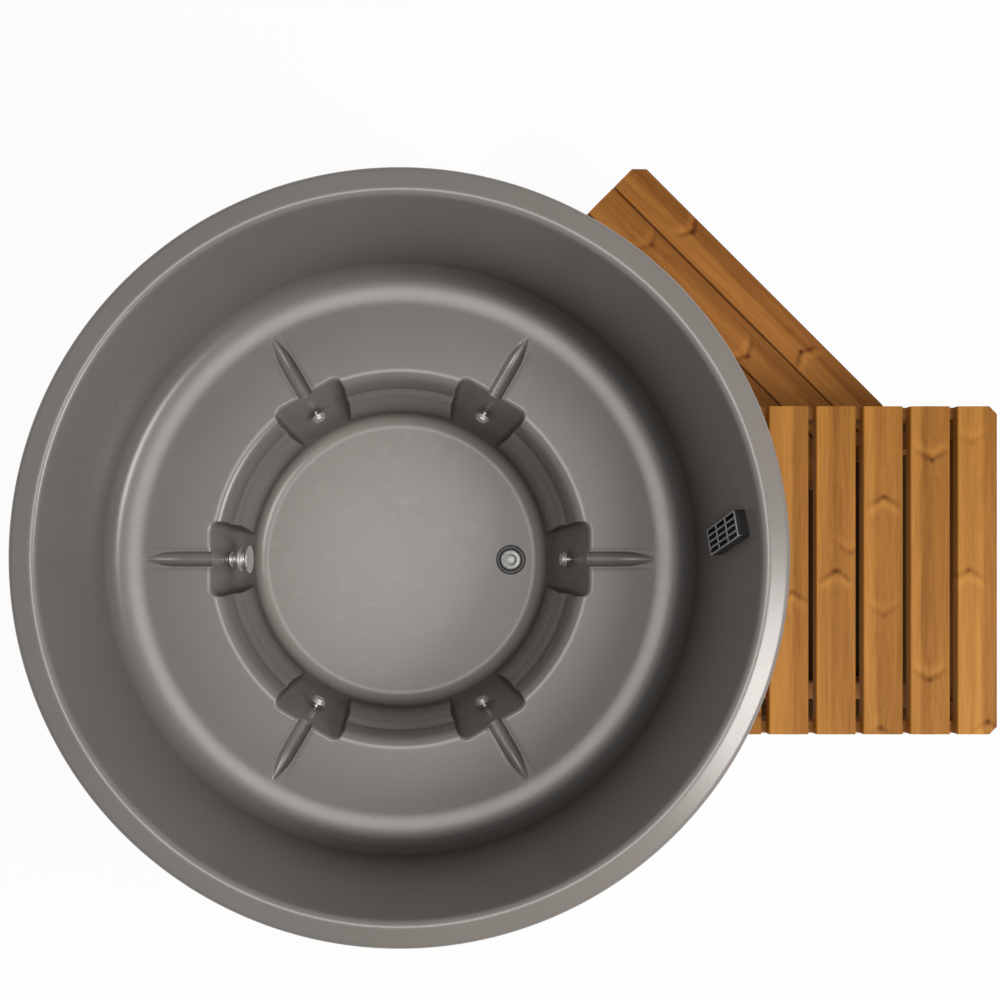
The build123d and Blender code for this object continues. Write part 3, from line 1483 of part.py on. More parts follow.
rail_screw_points = [
    (line, bearer_level + step_bearer_height * share)
    for line, _ in bearer_lines
    for share in fastener_shares
]
rail_face = Plane(origin=(board_face + rail_thickness, 0, 0), x_dir=(0, 1, 0), z_dir=(1, 0, 0))
with BuildPart() as step_screws:
    with BuildSketch(rail_face):
        with Locations(*wall_screw_points):
            RegularPolygon(screw_head / 2, 6)
    extrude(amount=screw_head_height)
    with BuildSketch(rail_face):
        with Locations(*wall_screw_points):
            Circle(screw_shank / 2)
    extrude(amount=-rail_thickness)
    for line, height in rail_screw_points:
        head = Plane(
            origin=step_frame.from_local_coords((line, rail_face_line, height)),
            x_dir=step_frame.x_dir,
            z_dir=step_frame.y_dir,
        )
        with BuildSketch(head):
            Circle(screw_head / 2)
        extrude(amount=screw_head_height, taper=25)
save(step_screws, "step_screws")
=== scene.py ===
from math import cos, pi, radians, sin, sqrt

import bmesh
import bpy
import numpy as np
from bpy.props import FloatProperty, FloatVectorProperty, PointerProperty
from mathutils import Matrix, Vector


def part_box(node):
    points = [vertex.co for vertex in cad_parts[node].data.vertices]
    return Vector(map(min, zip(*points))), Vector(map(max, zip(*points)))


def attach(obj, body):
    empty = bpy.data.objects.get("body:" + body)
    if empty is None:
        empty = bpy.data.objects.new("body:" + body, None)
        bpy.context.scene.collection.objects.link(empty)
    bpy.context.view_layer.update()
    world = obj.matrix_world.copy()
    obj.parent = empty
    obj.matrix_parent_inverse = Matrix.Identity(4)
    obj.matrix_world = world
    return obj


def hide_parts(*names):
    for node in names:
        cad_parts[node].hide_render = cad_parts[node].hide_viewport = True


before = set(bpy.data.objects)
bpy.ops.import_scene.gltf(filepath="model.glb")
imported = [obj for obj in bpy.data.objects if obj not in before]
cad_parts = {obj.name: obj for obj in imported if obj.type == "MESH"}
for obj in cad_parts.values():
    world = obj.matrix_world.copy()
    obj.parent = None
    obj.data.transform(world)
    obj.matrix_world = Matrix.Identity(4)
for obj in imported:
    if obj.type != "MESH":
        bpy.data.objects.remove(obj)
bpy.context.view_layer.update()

# Looks of a round outdoor tub: a moulded basin with a bench in a ring of timber boards,
# with two timber steps beside it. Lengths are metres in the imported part's frame, +Z up,
# apart from the basin's and the fittings' profiles, which are drawn in millimetres.

bl_info = {
    "name": "Outdoor hot tub",
    "version": (1, 0, 0),
    "blender": (4, 5, 0),
    "location": "View3D > Sidebar > Hot Tub",
    "description": "Builds the basin, fittings, timber and studio of a round outdoor hot tub",
    "category": "Object",
}

MM = 0.001

# Photograph: a camera that looks straight down. Its plumb line meets the picture at one
# pixel, the rim's middle lies at another, and the steps' pixels give their knots a place.
IMAGE_SIZE = 1000.0
PLUMB_PIXEL = (404.0, 565.0)
RIM_PIXEL = (399.4, 557.9)
RIM_LEVEL = 0.9477
RIM_SCALE = 0.0021593            # metres to a pixel at the rim
CAMERA_DROP = 2.462              # camera to the rim
SENSOR = 36.0


def plan_place(pixel, level):
    """Where a point of the photograph lies at a level, by similar triangles from the camera."""
    scale = RIM_SCALE * (1 + (RIM_LEVEL - level) / CAMERA_DROP)
    across = (pixel[0] - PLUMB_PIXEL[0]) * scale
    down = (pixel[1] - PLUMB_PIXEL[1]) * scale
    camera = camera_place()
    return camera[0] + across, camera[1] - down


def camera_place():
    """Camera over the plumb pixel, so that the rim's middle falls on its own pixel."""
    x = (PLUMB_PIXEL[0] - RIM_PIXEL[0]) * RIM_SCALE
    y = (RIM_PIXEL[1] - PLUMB_PIXEL[1]) * RIM_SCALE
    return x, y, RIM_LEVEL + CAMERA_DROP


def rgb(red, green, blue):
    """Linear colour of a display colour given in 0 to 255."""
    values = []
    for level in (red, green, blue):
        share = level / 255.0
        values.append(share / 12.92 if share <= 0.04045 else ((share + 0.055) / 1.055) ** 2.4)
    return tuple(values)


def tint(colour, factor=1.0):
    """A colour times a factor, with full alpha."""
    return (*tuple(channel * factor for channel in colour), 1)


def colour_property(name, description, colour):
    """A colour of the panel, given as a display colour."""
    return FloatVectorProperty(
        name=name, description=description, subtype="COLOR", size=3, min=0, max=1,
        default=rgb(*colour),
    )


class HotTubFinishes(bpy.types.PropertyGroup):
    """Colours that a user would change"""

    plastic: colour_property("Basin", "Moulded plastic of the basin", (116, 111, 107))
    slat_light: colour_property("Slat, pale", "Early wood of the upper step", (176, 122, 52))
    slat_dark: colour_property("Slat, dark", "Late wood of the upper step", (112, 66, 18))
    board_light: colour_property("Board, pale", "Early wood of the lower step", (176, 118, 52))
    board_dark: colour_property("Board, dark", "Late wood of the lower step", (98, 52, 12))
    metal: colour_property("Bright metal", "Plated fittings", (226, 226, 224))
    black: colour_property("Black plastic", "Strainer and drain ring", (30, 30, 31))


class HotTubSizes(bpy.types.PropertyGroup):
    """Sizes and powers that a user would change"""

    strainer_edge: FloatProperty(
        name="Strainer edge", description="Round on the strainer's edges", default=0.0017,
        min=0.0002, max=0.002, precision=4, unit="LENGTH",
    )
    key_size: FloatProperty(
        name="Key lamp size", description="Width of the lamp over the tub", default=1.8,
        min=0.1, max=4.0, unit="LENGTH",
    )
    side_size: FloatProperty(
        name="Side lamp size", description="Width of the lamp beside the tub", default=1.5,
        min=0.1, max=4.0, unit="LENGTH",
    )
    key_power: FloatProperty(
        name="Key lamp", description="Power of the lamp over the tub", default=52.0,
        min=0, unit="POWER",
    )
    side_power: FloatProperty(
        name="Side lamp", description="Power of the lamp beside the tub", default=92.0,
        min=0, unit="POWER",
    )
    sky: FloatProperty(
        name="Sky", description="Strength of the even light around", default=0.40, min=0,
    )


class Value:
    """A shader socket; arithmetic on it adds Math nodes to its tree."""

    def __init__(self, tree, socket):
        self.tree = tree
        self.socket = socket

    def node(self, kind, settings=None, inputs=None, output=0):
        """Adds a node of a kind, sets its settings, then its sockets, and gives an output."""
        made = self.tree.nodes.new(kind)
        for name, value in (settings or {}).items():
            if name == "stops":
                elements = made.color_ramp.elements
                elements[0].color = (*value[0][1], 1.0)
                elements[1].color = (*value[-1][1], 1.0)
                for place, colour in value[1:-1]:
                    elements.new(place).color = (*colour, 1.0)
            else:
                setattr(made, name, value)
        for name, value in (inputs or {}).items():
            if isinstance(value, Value):
                self.tree.links.new(value.socket, made.inputs[name])
            else:
                made.inputs[name].default_value = value
        return Value(self.tree, made.outputs[output])

    def maths(self, operation, first, second=0.0):
        """A Math node of an operation on one or two numbers or sockets."""
        return self.node("ShaderNodeMath", {"operation": operation}, {0: first, 1: second})

    def __add__(self, other):
        return self.maths("ADD", self, other)

    def __sub__(self, other):
        return self.maths("SUBTRACT", self, other)

    def __rsub__(self, other):
        return self.maths("SUBTRACT", other, self)

    def __mul__(self, other):
        return self.maths("MULTIPLY", self, other)

    def __truediv__(self, other):
        return self.maths("DIVIDE", self, other)

    def __pow__(self, other):
        return self.maths("POWER", self, other)

    def root(self):
        """Square root."""
        return self.maths("SQRT", self)

    def fraction(self):
        """What is left over the next lower whole number."""
        return self.maths("FRACT", self)

    def size(self):
        """Absolute value."""
        return self.maths("ABSOLUTE", self)

    def hill(self, width):
        """Bell curve, 1 where the value is 0 and a third at a width."""
        share = self / width
        return self.maths("EXPONENT", share * share * -1.0)

    def step(self, low, high):
        """Smooth step, from 0 at low to 1 at high."""
        settings = {"interpolation_type": "SMOOTHSTEP"}
        return self.node("ShaderNodeMapRange", settings, {"Value": self, 1: low, 2: high})

    def between(self, low, high):
        """A share from 0 to 1 turned into a value between low and high."""
        return self * (high - low) + low

    def mixed(self, first, second):
        """Colour between two colours, by this share of the second."""
        return self.node("ShaderNodeMix", {"data_type": "RGBA"}, {0: self, 6: first, 7: second}, 2)

    def ramp(self, *stops):
        """Colour of a ramp at this share; its first stop is at 0 and its last at 1."""
        return self.node("ShaderNodeValToRGB", {"stops": stops}, {0: self})

    def part(self, axis):
        """One component of a vector."""
        return self.node("ShaderNodeSeparateXYZ", None, {0: self}, "XYZ".index(axis))

    def noise(self, scale, detail=2.0, roughness=0.5):
        """Noise from 0 to 1 at a scale per metre."""
        inputs = {"Vector": self, "Scale": scale, "Detail": detail, "Roughness": roughness}
        return self.node("ShaderNodeTexNoise", None, inputs)

    def mapped(self, shift=(0.0, 0.0, 0.0), turn=0.0, scale=(1.0, 1.0, 1.0)):
        """Vector scaled, turned about Z and then moved by a Mapping node."""
        inputs = {0: self, 1: shift, 2: (0.0, 0.0, turn), 3: scale}
        return self.node("ShaderNodeMapping", None, inputs)


class Finish:
    """A material with one glossy shader, whose tree starts at the piece's own coordinates."""

    def __init__(self, name, **constants):
        self.material = bpy.data.materials.new(name)
        self.material.use_nodes = True
        tree = self.material.node_tree
        self.shader = tree.nodes["Principled BSDF"]
        for key, value in constants.items():
            socket = key.replace("_", " ").title().replace("Ior", "IOR")
            self.shader.inputs[socket].default_value = value
        coordinates = tree.nodes.new("ShaderNodeTexCoord")
        self.place = Value(tree, coordinates.outputs["Object"])

    def link(self, name, value):
        """Feeds one of the shader's sockets."""
        self.place.tree.links.new(value.socket, self.shader.inputs[name])

    def bump(self, height, strength, distance):
        """Feeds a height, in shares of a distance in metres, to the shader's normal."""
        inputs = {"Height": height, "Strength": strength, "Distance": distance}
        self.link("Normal", self.place.node("ShaderNodeBump", None, inputs))


def smooth(value, low, high):
    """Smooth step of an array, from 0 at low to 1 at high."""
    share = np.clip((value - low) / (high - low), 0, 1)
    return share * share * (3 - 2 * share)


def soft_max(first, second, width):
    """The larger of two values, rounded over a width where they cross."""
    return (first + second + np.sqrt((first - second) ** 2 + width ** 2)) / 2


def grid_faces(rows, columns):
    """Quads between the points of a grid numbered row by row, joined round its columns."""
    r = np.arange(rows - 1)[:, None]
    c = np.arange(columns)[None, :]
    n = (c + 1) % columns
    corners = (r * columns + c, (r + 1) * columns + c, (r + 1) * columns + n, r * columns + n)
    return np.stack(np.broadcast_arrays(*corners), -1).reshape(-1, 4)


def spread(count, length, hold):
    """Shares along a leg: even steps, with one more point close to each end."""
    share = np.linspace(0, 1, count + 1)
    if length > 5 * hold:
        share = np.unique(np.concatenate([share, [hold / length, 1 - hold / length]]))
    return share[:, None]


def rounded(corners, radii, arcs, lines, hold=3.0):
    """Path through corners with an arc at each inner one.

    The arc touches both legs at radius / tan(half the corner's angle), and its points turn
    evenly about its centre. arcs and lines give the steps on each arc and each leg."""
    corners = np.asarray(corners, float)
    ends = [(corners[0], corners[0])]
    curves = []
    for k in range(1, len(corners) - 1):
        here = corners[k]
        back = corners[k - 1] - here
        ahead = corners[k + 1] - here
        back /= np.linalg.norm(back)
        ahead /= np.linalg.norm(ahead)
        half = np.arccos(np.clip(back @ ahead, -1, 1)) / 2
        reach = radii[k - 1] / np.tan(half)
        middle = back + ahead
        centre = here + middle / np.linalg.norm(middle) * radii[k - 1] / np.sin(half)
        start = here + back * reach
        end = here + ahead * reach
        turn = pi - 2 * half
        share = np.linspace(0, 1, arcs[k - 1] + 1)[:, None]
        curve = np.sin((1 - share) * turn) * (start - centre) + np.sin(share * turn) * (end - centre)
        curves.append(centre + curve / np.sin(turn))
        ends.append((start, end))
    ends.append((corners[-1], corners[-1]))
    path = []
    for k in range(len(corners) - 1):
        leg = ends[k + 1][0] - ends[k][1]
        share = spread(lines[k], np.linalg.norm(leg), hold)
        path.append(ends[k][1] + leg * share[:-1])
        if k < len(curves):
            path.append(curves[k][:-1])
    path.append(corners[-1:])
    return np.concatenate(path)


def eased(corners, radius, steps=3):
    """Path through corners with the same small round at each, less where a leg is short."""
    corners = np.asarray(corners, float)
    legs = np.linalg.norm(np.diff(corners, axis=0), axis=1)
    radii = np.minimum(radius, 0.4 * np.minimum(legs[:-1], legs[1:]))
    return rounded(corners, radii, [steps] * len(radii), [1] * len(legs), hold=1e9)


SHARP_ANGLE = radians(38)         # edges that turn more than this stay sharp
SEAM = 2e-6                      # points closer than this are one


def put(name, points, faces, material, body, replaces):
    """Makes a closed piece of points and faces, merges its seams and turns its faces out."""
    mesh = bpy.data.meshes.new(name)
    mesh.from_pydata(points.reshape(-1, 3).tolist(), [], faces.tolist())
    work = bmesh.new()
    work.from_mesh(mesh)
    bmesh.ops.remove_doubles(work, verts=work.verts, dist=SEAM)
    bmesh.ops.dissolve_degenerate(work, edges=work.edges, dist=1e-7)
    bmesh.ops.recalc_face_normals(work, faces=work.faces)
    work.to_mesh(mesh)
    work.free()
    mesh.polygons.foreach_set("use_smooth", np.ones(len(mesh.polygons), bool))
    mesh.set_sharp_from_angle(angle=SHARP_ANGLE)
    mesh.materials.append(material)
    piece = bpy.data.objects.new(name, mesh)
    bpy.context.scene.collection.objects.link(piece)
    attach(piece, body)
    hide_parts(*replaces)
    return piece


def settle(piece):
    """Makes what a piece's modifiers give its own mesh, and takes them off."""
    bpy.context.view_layer.update()
    settled = piece.evaluated_get(bpy.context.evaluated_depsgraph_get())
    result = bpy.data.meshes.new_from_object(settled)
    piece.modifiers.clear()
    piece.data = result
    return result


def node_points(name):
    """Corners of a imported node, as rows of three numbers."""
    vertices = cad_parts[name].data.vertices
    flat = np.empty(len(vertices) * 3)
    vertices.foreach_get("co", flat)
    return flat.reshape(-1, 3)


def dress(material, *names):
    """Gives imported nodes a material."""
    for name in names:
        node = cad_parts[name]
        node.data.materials.clear()
        node.data.materials.append(material)
        node.data.polygons.foreach_set("material_index", np.zeros(len(node.data.polygons), int))


# Basin, as radius and height of its wet face in millimetres
FLOOR = 80.0
BENCH = 500.0
RIM = 950.0
WELL = 458.0
WET_CORNERS = (
    (0, FLOOR), (424.5, FLOOR), (431, 385), (450, 400), (WELL, BENCH),
    (676, BENCH), (738.8, 525), (787, RIM), (850, 941), (850, 903),
)
WET_ROUNDS = (42, 34, 5, 30, 150, 52, 17, 15)
WET_ARC_STEPS = (9, 7, 3, 10, 6, 8, 8, 7)
WET_LINE_STEPS = (2, 8, 1, 3, 16, 1, 5, 2, 1)
DRY_CORNERS = (
    (842, 903), (842, 934), (794, 941), (743.1, 492), (465.4, 492),
    (457.7, 395.9), (438.9, 381), (432.5, 72), (0, 72),
)
DRY_ROUNDS = (6, 8, 88, 22, 13, 26, 50)
DRY_ARC_STEPS = (1, 1, 4, 3, 1, 2, 3)
DRY_LINE_STEPS = (1, 1, 1, 5, 1, 1, 1, 1)
EDGE_LOW = 472.4                 # where the bench's edge round meets the well
EDGE_OUT = 485.7                 # and the bench
POCKETS = 6
POCKET_HALF = (75.0, 95.0)       # at the pocket's foot and at the bench
POCKET_FACE = (430.0, 482.0)
POCKET_FOOT = 110.0
POCKET_ROUND = 22.0
POCKET_EDGE = 1 / 3              # its edge's round, as a share of the bench's
GROOVE_RADIUS = 19.0
GROOVE_STRAIGHT = 560.0
GROOVE_TIP = 652.0
POCKET_MOVES = 680.0             # beyond these radii no pocket, groove or rib moves a point
GROOVE_MOVES = 690.0
RIB_MOVES = 700.0
HAIR = 0.01                      # slack in comparing levels and radii
WET_BLEND = 5.0                  # width over which a pocket and the turned profile blend
DRY_BLEND = 4.0
POCKET_RISE = 26.0               # height over which a pocket opens above its foot
DRY_RISE = (-8.0, 20.0)          # the same for the dry face, measured from the foot
MOUTH_FADE = (WELL - 2, POCKET_FACE[1] - 4)
BENCH_FADE = 570.0               # radius at which the bench no longer follows a pocket
GROOVE_SIDES = (3.0, 7.0)        # width beyond a groove's radius where its lowering fades
GROOVE_LIP = 2.0                 # width over which groove and bench blend
TIP_FADE = (2.0, 40.0)           # length beyond a groove's tip where its columns fan out
DRY_WELL = 520.0                 # radius that holds the well's dry face
RIB_LEVEL = 440.0                # level above which a groove's rib is looked for
DRAIN_HOLE = 0.0295              # metres, and from one level to another
DRAIN_HOLE_LEVELS = (0.06, 0.09)

# Degrees from a groove's middle: to where its columns lie close, then to the first and the
# last azimuth of a pocket's side wall and its corner, and to half way to the next groove
GROOVE_SPAN = 2.9
SIDE_WALL = (9.4, 13.0)
HALF_SECTOR = 30.0
PARALLEL_END = 9.0               # and where columns no longer run beside the groove
GROOVE_COLUMN = 0.16
SIDE_COLUMN = 0.17


def pocket_exit(height, angle):
    """Radius at which a ray leaves the pocket's plan, a half strip with round corners.

    Both its back face and its side walls lie on planes, so they move in a straight line with
    height. Straight ahead the ray meets the back face, at the sides the side wall, and
    between them the corner's circle, whose crossing is the larger root of a quadratic."""
    share = (height - POCKET_FOOT) / (BENCH - POCKET_FOOT)
    face = POCKET_FACE[0] + (POCKET_FACE[1] - POCKET_FACE[0]) * share
    half = POCKET_HALF[0] + (POCKET_HALF[1] - POCKET_HALF[0]) * share
    across = np.abs(np.sin(angle))
    ahead = np.cos(angle)
    corner_x = face - POCKET_ROUND
    corner_y = half - POCKET_ROUND
    toward = corner_x * ahead + corner_y * across
    square = toward ** 2 - corner_x ** 2 - corner_y ** 2 + POCKET_ROUND ** 2
    on_corner = toward + np.sqrt(np.maximum(square, 0))
    on_face = face / ahead
    on_side = half / np.maximum(across, 1e-6)
    radius = np.where(on_face * across <= corner_y, on_face, on_corner)
    return np.where(on_side * ahead <= corner_x, on_side, radius)


def sector_angles():
    """Azimuths of the grid's columns, finer over each groove and each pocket's side walls."""
    half = np.concatenate([
        np.arange(0, GROOVE_SPAN, GROOVE_COLUMN), np.linspace(GROOVE_SPAN, SIDE_WALL[0], 6)[:-1],
        np.arange(*SIDE_WALL, SIDE_COLUMN), np.linspace(SIDE_WALL[1], HALF_SECTOR, 12)[:-1],
    ])
    sector = np.concatenate([-half[:0:-1], half, [HALF_SECTOR]])
    local = np.radians(np.tile(sector, POCKETS))
    centre = np.repeat(np.arange(POCKETS) * 2 * pi / POCKETS, len(sector))
    return local[None, :], centre[None, :]


def channel_radius(along):
    """Radius of the groove: constant, then falling with the square of the way to its tip."""
    run_out = np.clip((along - GROOVE_STRAIGHT) / (GROOVE_TIP - GROOVE_STRAIGHT), 0, 1)
    return GROOVE_RADIUS * (1 - run_out ** 2)


def channel_level(along, across, thickness):
    """Height of the groove's round bottom over the bench plane, or of its rib under it."""
    radius = channel_radius(along) + thickness
    return -np.sqrt(np.maximum(radius ** 2 - across ** 2, 0))


def along_groove(radius, local):
    """Azimuth of a column near a groove, whose points keep their distance from its middle."""
    parallel = np.arcsin(np.clip(EDGE_OUT * np.sin(local) / np.maximum(radius, EDGE_OUT), -1, 1))
    near = 1 - smooth(np.abs(local), radians(GROOVE_SPAN), radians(PARALLEL_END))
    inner = 1 - smooth(radius, GROOVE_TIP + TIP_FADE[0], GROOVE_TIP + TIP_FADE[1])
    return local + (parallel - local) * near * inner


def basin_points():
    """Wet face, skirt and dry face of the basin, as rows of points round the axis.

    The turned profile is widened at each pocket to where the ray leaves the pocket's plan,
    with a sharper edge there, and is lowered to the groove's channel where that is deeper.
    The dry face is widened and lowered the same way, by a wall more."""
    local, centre = sector_angles()
    wet = rounded(WET_CORNERS, WET_ROUNDS, WET_ARC_STEPS, WET_LINE_STEPS)
    corners = np.array(WET_CORNERS, float)
    radius, height = wet[:, :1], wet[:, 1:]
    line = np.interp(height, corners[1:5, 1], corners[1:5, 0])
    mouth = pocket_exit(BENCH, local)
    inside = smooth(mouth, *MOUTH_FADE)
    top = BENCH - (BENCH - EDGE_LOW) * POCKET_EDGE
    ledge = corners[3, 1]
    stretched = ledge + (height - ledge) * (top - ledge) / (EDGE_LOW - ledge)
    level = np.where(height < EDGE_LOW, stretched, BENCH - (BENCH - height) * POCKET_EDGE)
    level = np.where((height > ledge) & (height < BENCH), level, height)
    in_wall = pocket_exit(np.minimum(level, BENCH), local) + (radius - line) * POCKET_EDGE - radius
    edge = (EDGE_OUT - WELL) * POCKET_EDGE + mouth - EDGE_OUT
    in_bench = edge * (1 - smooth(radius, EDGE_OUT, BENCH_FADE))
    on_bench = (height > BENCH - HAIR) & (radius > EDGE_OUT - HAIR)
    shift = soft_max(np.where(on_bench, in_bench, in_wall), 0.0, WET_BLEND)
    moved = (height < BENCH + HAIR) & (radius < POCKET_MOVES)
    r = radius + shift * smooth(height, POCKET_FOOT, POCKET_FOOT + POCKET_RISE) * moved
    z = height + (level - height) * inside
    azimuth = along_groove(r, local)
    along, across = r * np.cos(azimuth), r * np.sin(azimuth)
    channel = channel_level(along, across, 0.0)
    lip = GROOVE_LIP * channel_radius(along) / GROOVE_RADIUS + HAIR
    lowered = BENCH - soft_max(BENCH - z, -channel, lip)
    reach = (z > BENCH - 2 * GROOVE_RADIUS) & (z < BENCH + HAIR) & (r < GROOVE_MOVES)
    aside = np.abs(across) - GROOVE_RADIUS
    near = 1 - smooth(aside, *GROOVE_SIDES)
    z = np.where(reach, z + (lowered - z) * near, z)
    wet_points = np.stack([r * np.cos(centre + azimuth), r * np.sin(centre + azimuth), z], -1)

    dry = rounded(DRY_CORNERS, DRY_ROUNDS, DRY_ARC_STEPS, DRY_LINE_STEPS, hold=1e9)
    radius, height = dry[:, :1], dry[:, 1:]
    shell = BENCH - DRY_CORNERS[4][1]
    behind = pocket_exit(np.minimum(height, BENCH - shell), local) + shell - radius
    well_side = (height < BENCH) & (radius < DRY_WELL)
    shift = soft_max(behind, 0.0, DRY_BLEND) * smooth(height - POCKET_FOOT, *DRY_RISE)
    r = radius + shift * well_side
    azimuth = along_groove(r, local)
    rib = channel_level(r * np.cos(azimuth), r * np.sin(azimuth), shell) + BENCH
    under = (height > RIB_LEVEL) & (height < BENCH) & (radius < RIB_MOVES)
    z = np.where(under, np.minimum(height, rib), height)
    z = np.broadcast_to(z, r.shape)
    dry_points = np.stack([r * np.cos(centre + azimuth), r * np.sin(centre + azimuth), z], -1)
    return np.concatenate([wet_points, dry_points]) * MM


# Parts of the basin where painted light or painted shade changes its colour, each by the metres over
# which it fades
FLOOR_FADE = (0.083, 0.115)
GROOVE_RING = ((0.486, 0.50), (0.64, 0.66))
OUTER_BENCH = (0.60, 0.66)
FOOT_RADIUS = 0.724
FOOT_WIDTH = 0.028
FOOT_LEVELS = (0.49, 0.495)
WALL_RADII = (0.715, 0.74)
WALL_LEVEL = 0.52
WALL_HEIGHT = 0.13
LAMP_SIDE = (0.966, 0.259)       # east and south shares of the way to the side lamp


def moulded_plastic(colour):
    """Warm grey moulded polyethylene with a soft gloss and a faint mottle.

    Its colour is painted paler on the well's floor, painted light with paler blots in it. Painted
    shade darkens it in the well's corners by ambient occlusion, less in the ring of grooves, and
    along the wall's foot by radius and height, most on the side lamp's side, where the wall faces
    away from that lamp."""
    finish = Finish("moulded_plastic", specular_ior_level=0.55)
    place = finish.place
    across, along, height = place.part("X"), place.part("Y"), place.part("Z")
    tone = place.noise(3.5, 3.0, 0.55).mixed(tint(colour, 0.90), tint(colour, 1.10))
    # Painted light: the well's floor is painted paler, with paler blots in it.
    low = 1.0 - height.step(*FLOOR_FADE)
    blots = place.noise(26.0, 2.0, 0.5).step(0.58, 0.74) * low
    tone = (low * 0.44 + blots * 0.16).mixed(tone, tint(colour, 1.9))
    # Painted shade: ambient occlusion darkens the colour in the well's corners, less in the ring of
    # grooves, not on the floor or the outer bench.
    corner = place.node("ShaderNodeAmbientOcclusion", {"samples": 12}, {"Distance": 0.22}, 1)
    plan = (across ** 2.0 + along ** 2.0).root()
    groove = plan.step(*GROOVE_RING[0]) * (1.0 - plan.step(*GROOVE_RING[1]))
    inner = 1.0 - plan.step(*OUTER_BENCH)
    shade = (1.0 - corner.step(0.48, 0.97)) * (1.0 - groove * 0.6) * (1.0 - low) * inner
    # Painted shade: a dark band along the wall's foot and up the wall, strongest on the side lamp's
    # side.
    lamp_side = ((across * LAMP_SIDE[0] - along * LAMP_SIDE[1]) / plan).step(-0.9, 0.3)
    foot = (plan - FOOT_RADIUS).hill(FOOT_WIDTH) * height.step(*FOOT_LEVELS)
    wall = (height - WALL_LEVEL).hill(WALL_HEIGHT) * plan.step(*WALL_RADII) * 0.75
    band = foot + wall * (1.0 - foot)
    shade = shade + band * (lamp_side * 0.78 + 0.12) * (1.0 - shade)
    finish.link("Base Color", (shade * 0.92).mixed(tone, tint(colour, 0.12)))
    cloud = place.noise(11.0, 4.0, 0.6)
    finish.link("Roughness", cloud.between(0.25, 0.31) + low * 0.05)
    finish.bump(place.noise(700.0, 2.0, 0.6), 0.03, 0.0003)
    return finish.material


def drill(piece, radius, start, end):
    """Cuts a round hole from one point to another."""
    along = Vector(end) - Vector(start)
    work = bmesh.new()
    turn = along.to_track_quat("Z", "Y").to_matrix().to_4x4()
    place = Matrix.Translation((Vector(start) + Vector(end)) / 2) @ turn
    bmesh.ops.create_cone(
        work, cap_ends=True, segments=64, radius1=radius, radius2=radius,
        depth=along.length, matrix=place,
    )
    mesh = bpy.data.meshes.new("drill")
    work.to_mesh(mesh)
    work.free()
    bit = bpy.data.objects.new("drill", mesh)
    bpy.context.scene.collection.objects.link(bit)
    cut = piece.modifiers.new("hole", "BOOLEAN")
    cut.object = bit
    cut.operation = "DIFFERENCE"
    cut.solver = "MANIFOLD"
    settle(piece)
    bpy.data.objects.remove(bit)
    bpy.data.meshes.remove(mesh)


class HOTTUB_OT_basin(bpy.types.Operator):
    """Moulded basin with its bench, foot well, pockets and grooves"""

    bl_idname = "hottub.basin"
    bl_label = "Basin"

    def execute(self, context):
        points = basin_points()
        faces = grid_faces(*points.shape[:2])
        material = moulded_plastic(context.scene.hot_tub_finishes.plastic)
        piece = put("basin_shell", points, faces, material, "tub", ["basin"])
        low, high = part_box("drain_flange")
        middle = (Vector(low) + Vector(high)) / 2
        ends = [(middle.x, middle.y, level) for level in DRAIN_HOLE_LEVELS]
        drill(piece, DRAIN_HOLE, *ends)
        return {"FINISHED"}


def bright_metal(name, colour, roughness):
    """Plated metal with dull spots and a slightly uneven face."""
    finish = Finish(name, metallic=0.72)
    dull = finish.place.noise(90.0, 3.0, 0.6)
    finish.link("Base Color", dull.step(0.35, 0.75).mixed(tint(colour), tint(colour, 0.82)))
    finish.link("Roughness", dull.between(roughness * 0.8, roughness * 1.2))
    finish.bump(finish.place.noise(160.0, 2.0, 0.5), 0.10, 0.0006)
    return finish.material


def moulded(name, colour, roughness, grain=500.0):
    """Plain moulded plastic or rubber with a fine grain and a change of gloss."""
    finish = Finish(name)
    cloud = finish.place.noise(40.0, 3.0, 0.6)
    finish.link("Base Color", cloud.mixed(tint(colour, 0.82), tint(colour)))
    finish.link("Roughness", cloud.between(roughness * 0.85, roughness * 1.15))
    finish.bump(finish.place.noise(grain, 2.0, 0.6), 0.12, 0.0004)
    return finish.material


def turned(profile, origin, axis, segments):
    """Points of a profile of radius and height, carried round an axis from its origin."""
    profile = np.asarray(profile, float)
    axis = Vector(axis).normalized()
    side = axis.orthogonal().normalized()
    other = axis.cross(side)
    angle = np.linspace(0, 2 * pi, segments, endpoint=False)
    ring = np.outer(np.cos(angle), side) + np.outer(np.sin(angle), other)
    points = profile[:, None, :1] * ring[None] + profile[:, None, 1:] * np.array(axis)
    return points * MM + np.array(origin)


def around(points, azimuths):
    """Copies of points turned about the tub's axis, one below the other, and their faces."""
    rows, columns = points.shape[:2]
    faces = grid_faces(rows, columns)
    copies = []
    for angle in azimuths:
        turn = np.array(Matrix.Rotation(radians(angle), 3, "Z"))
        copies.append(points.reshape(-1, 3) @ turn.T)
    shifts = np.arange(len(azimuths))[:, None, None] * rows * columns
    return np.concatenate(copies), (faces[None] + shifts).reshape(-1, 4)


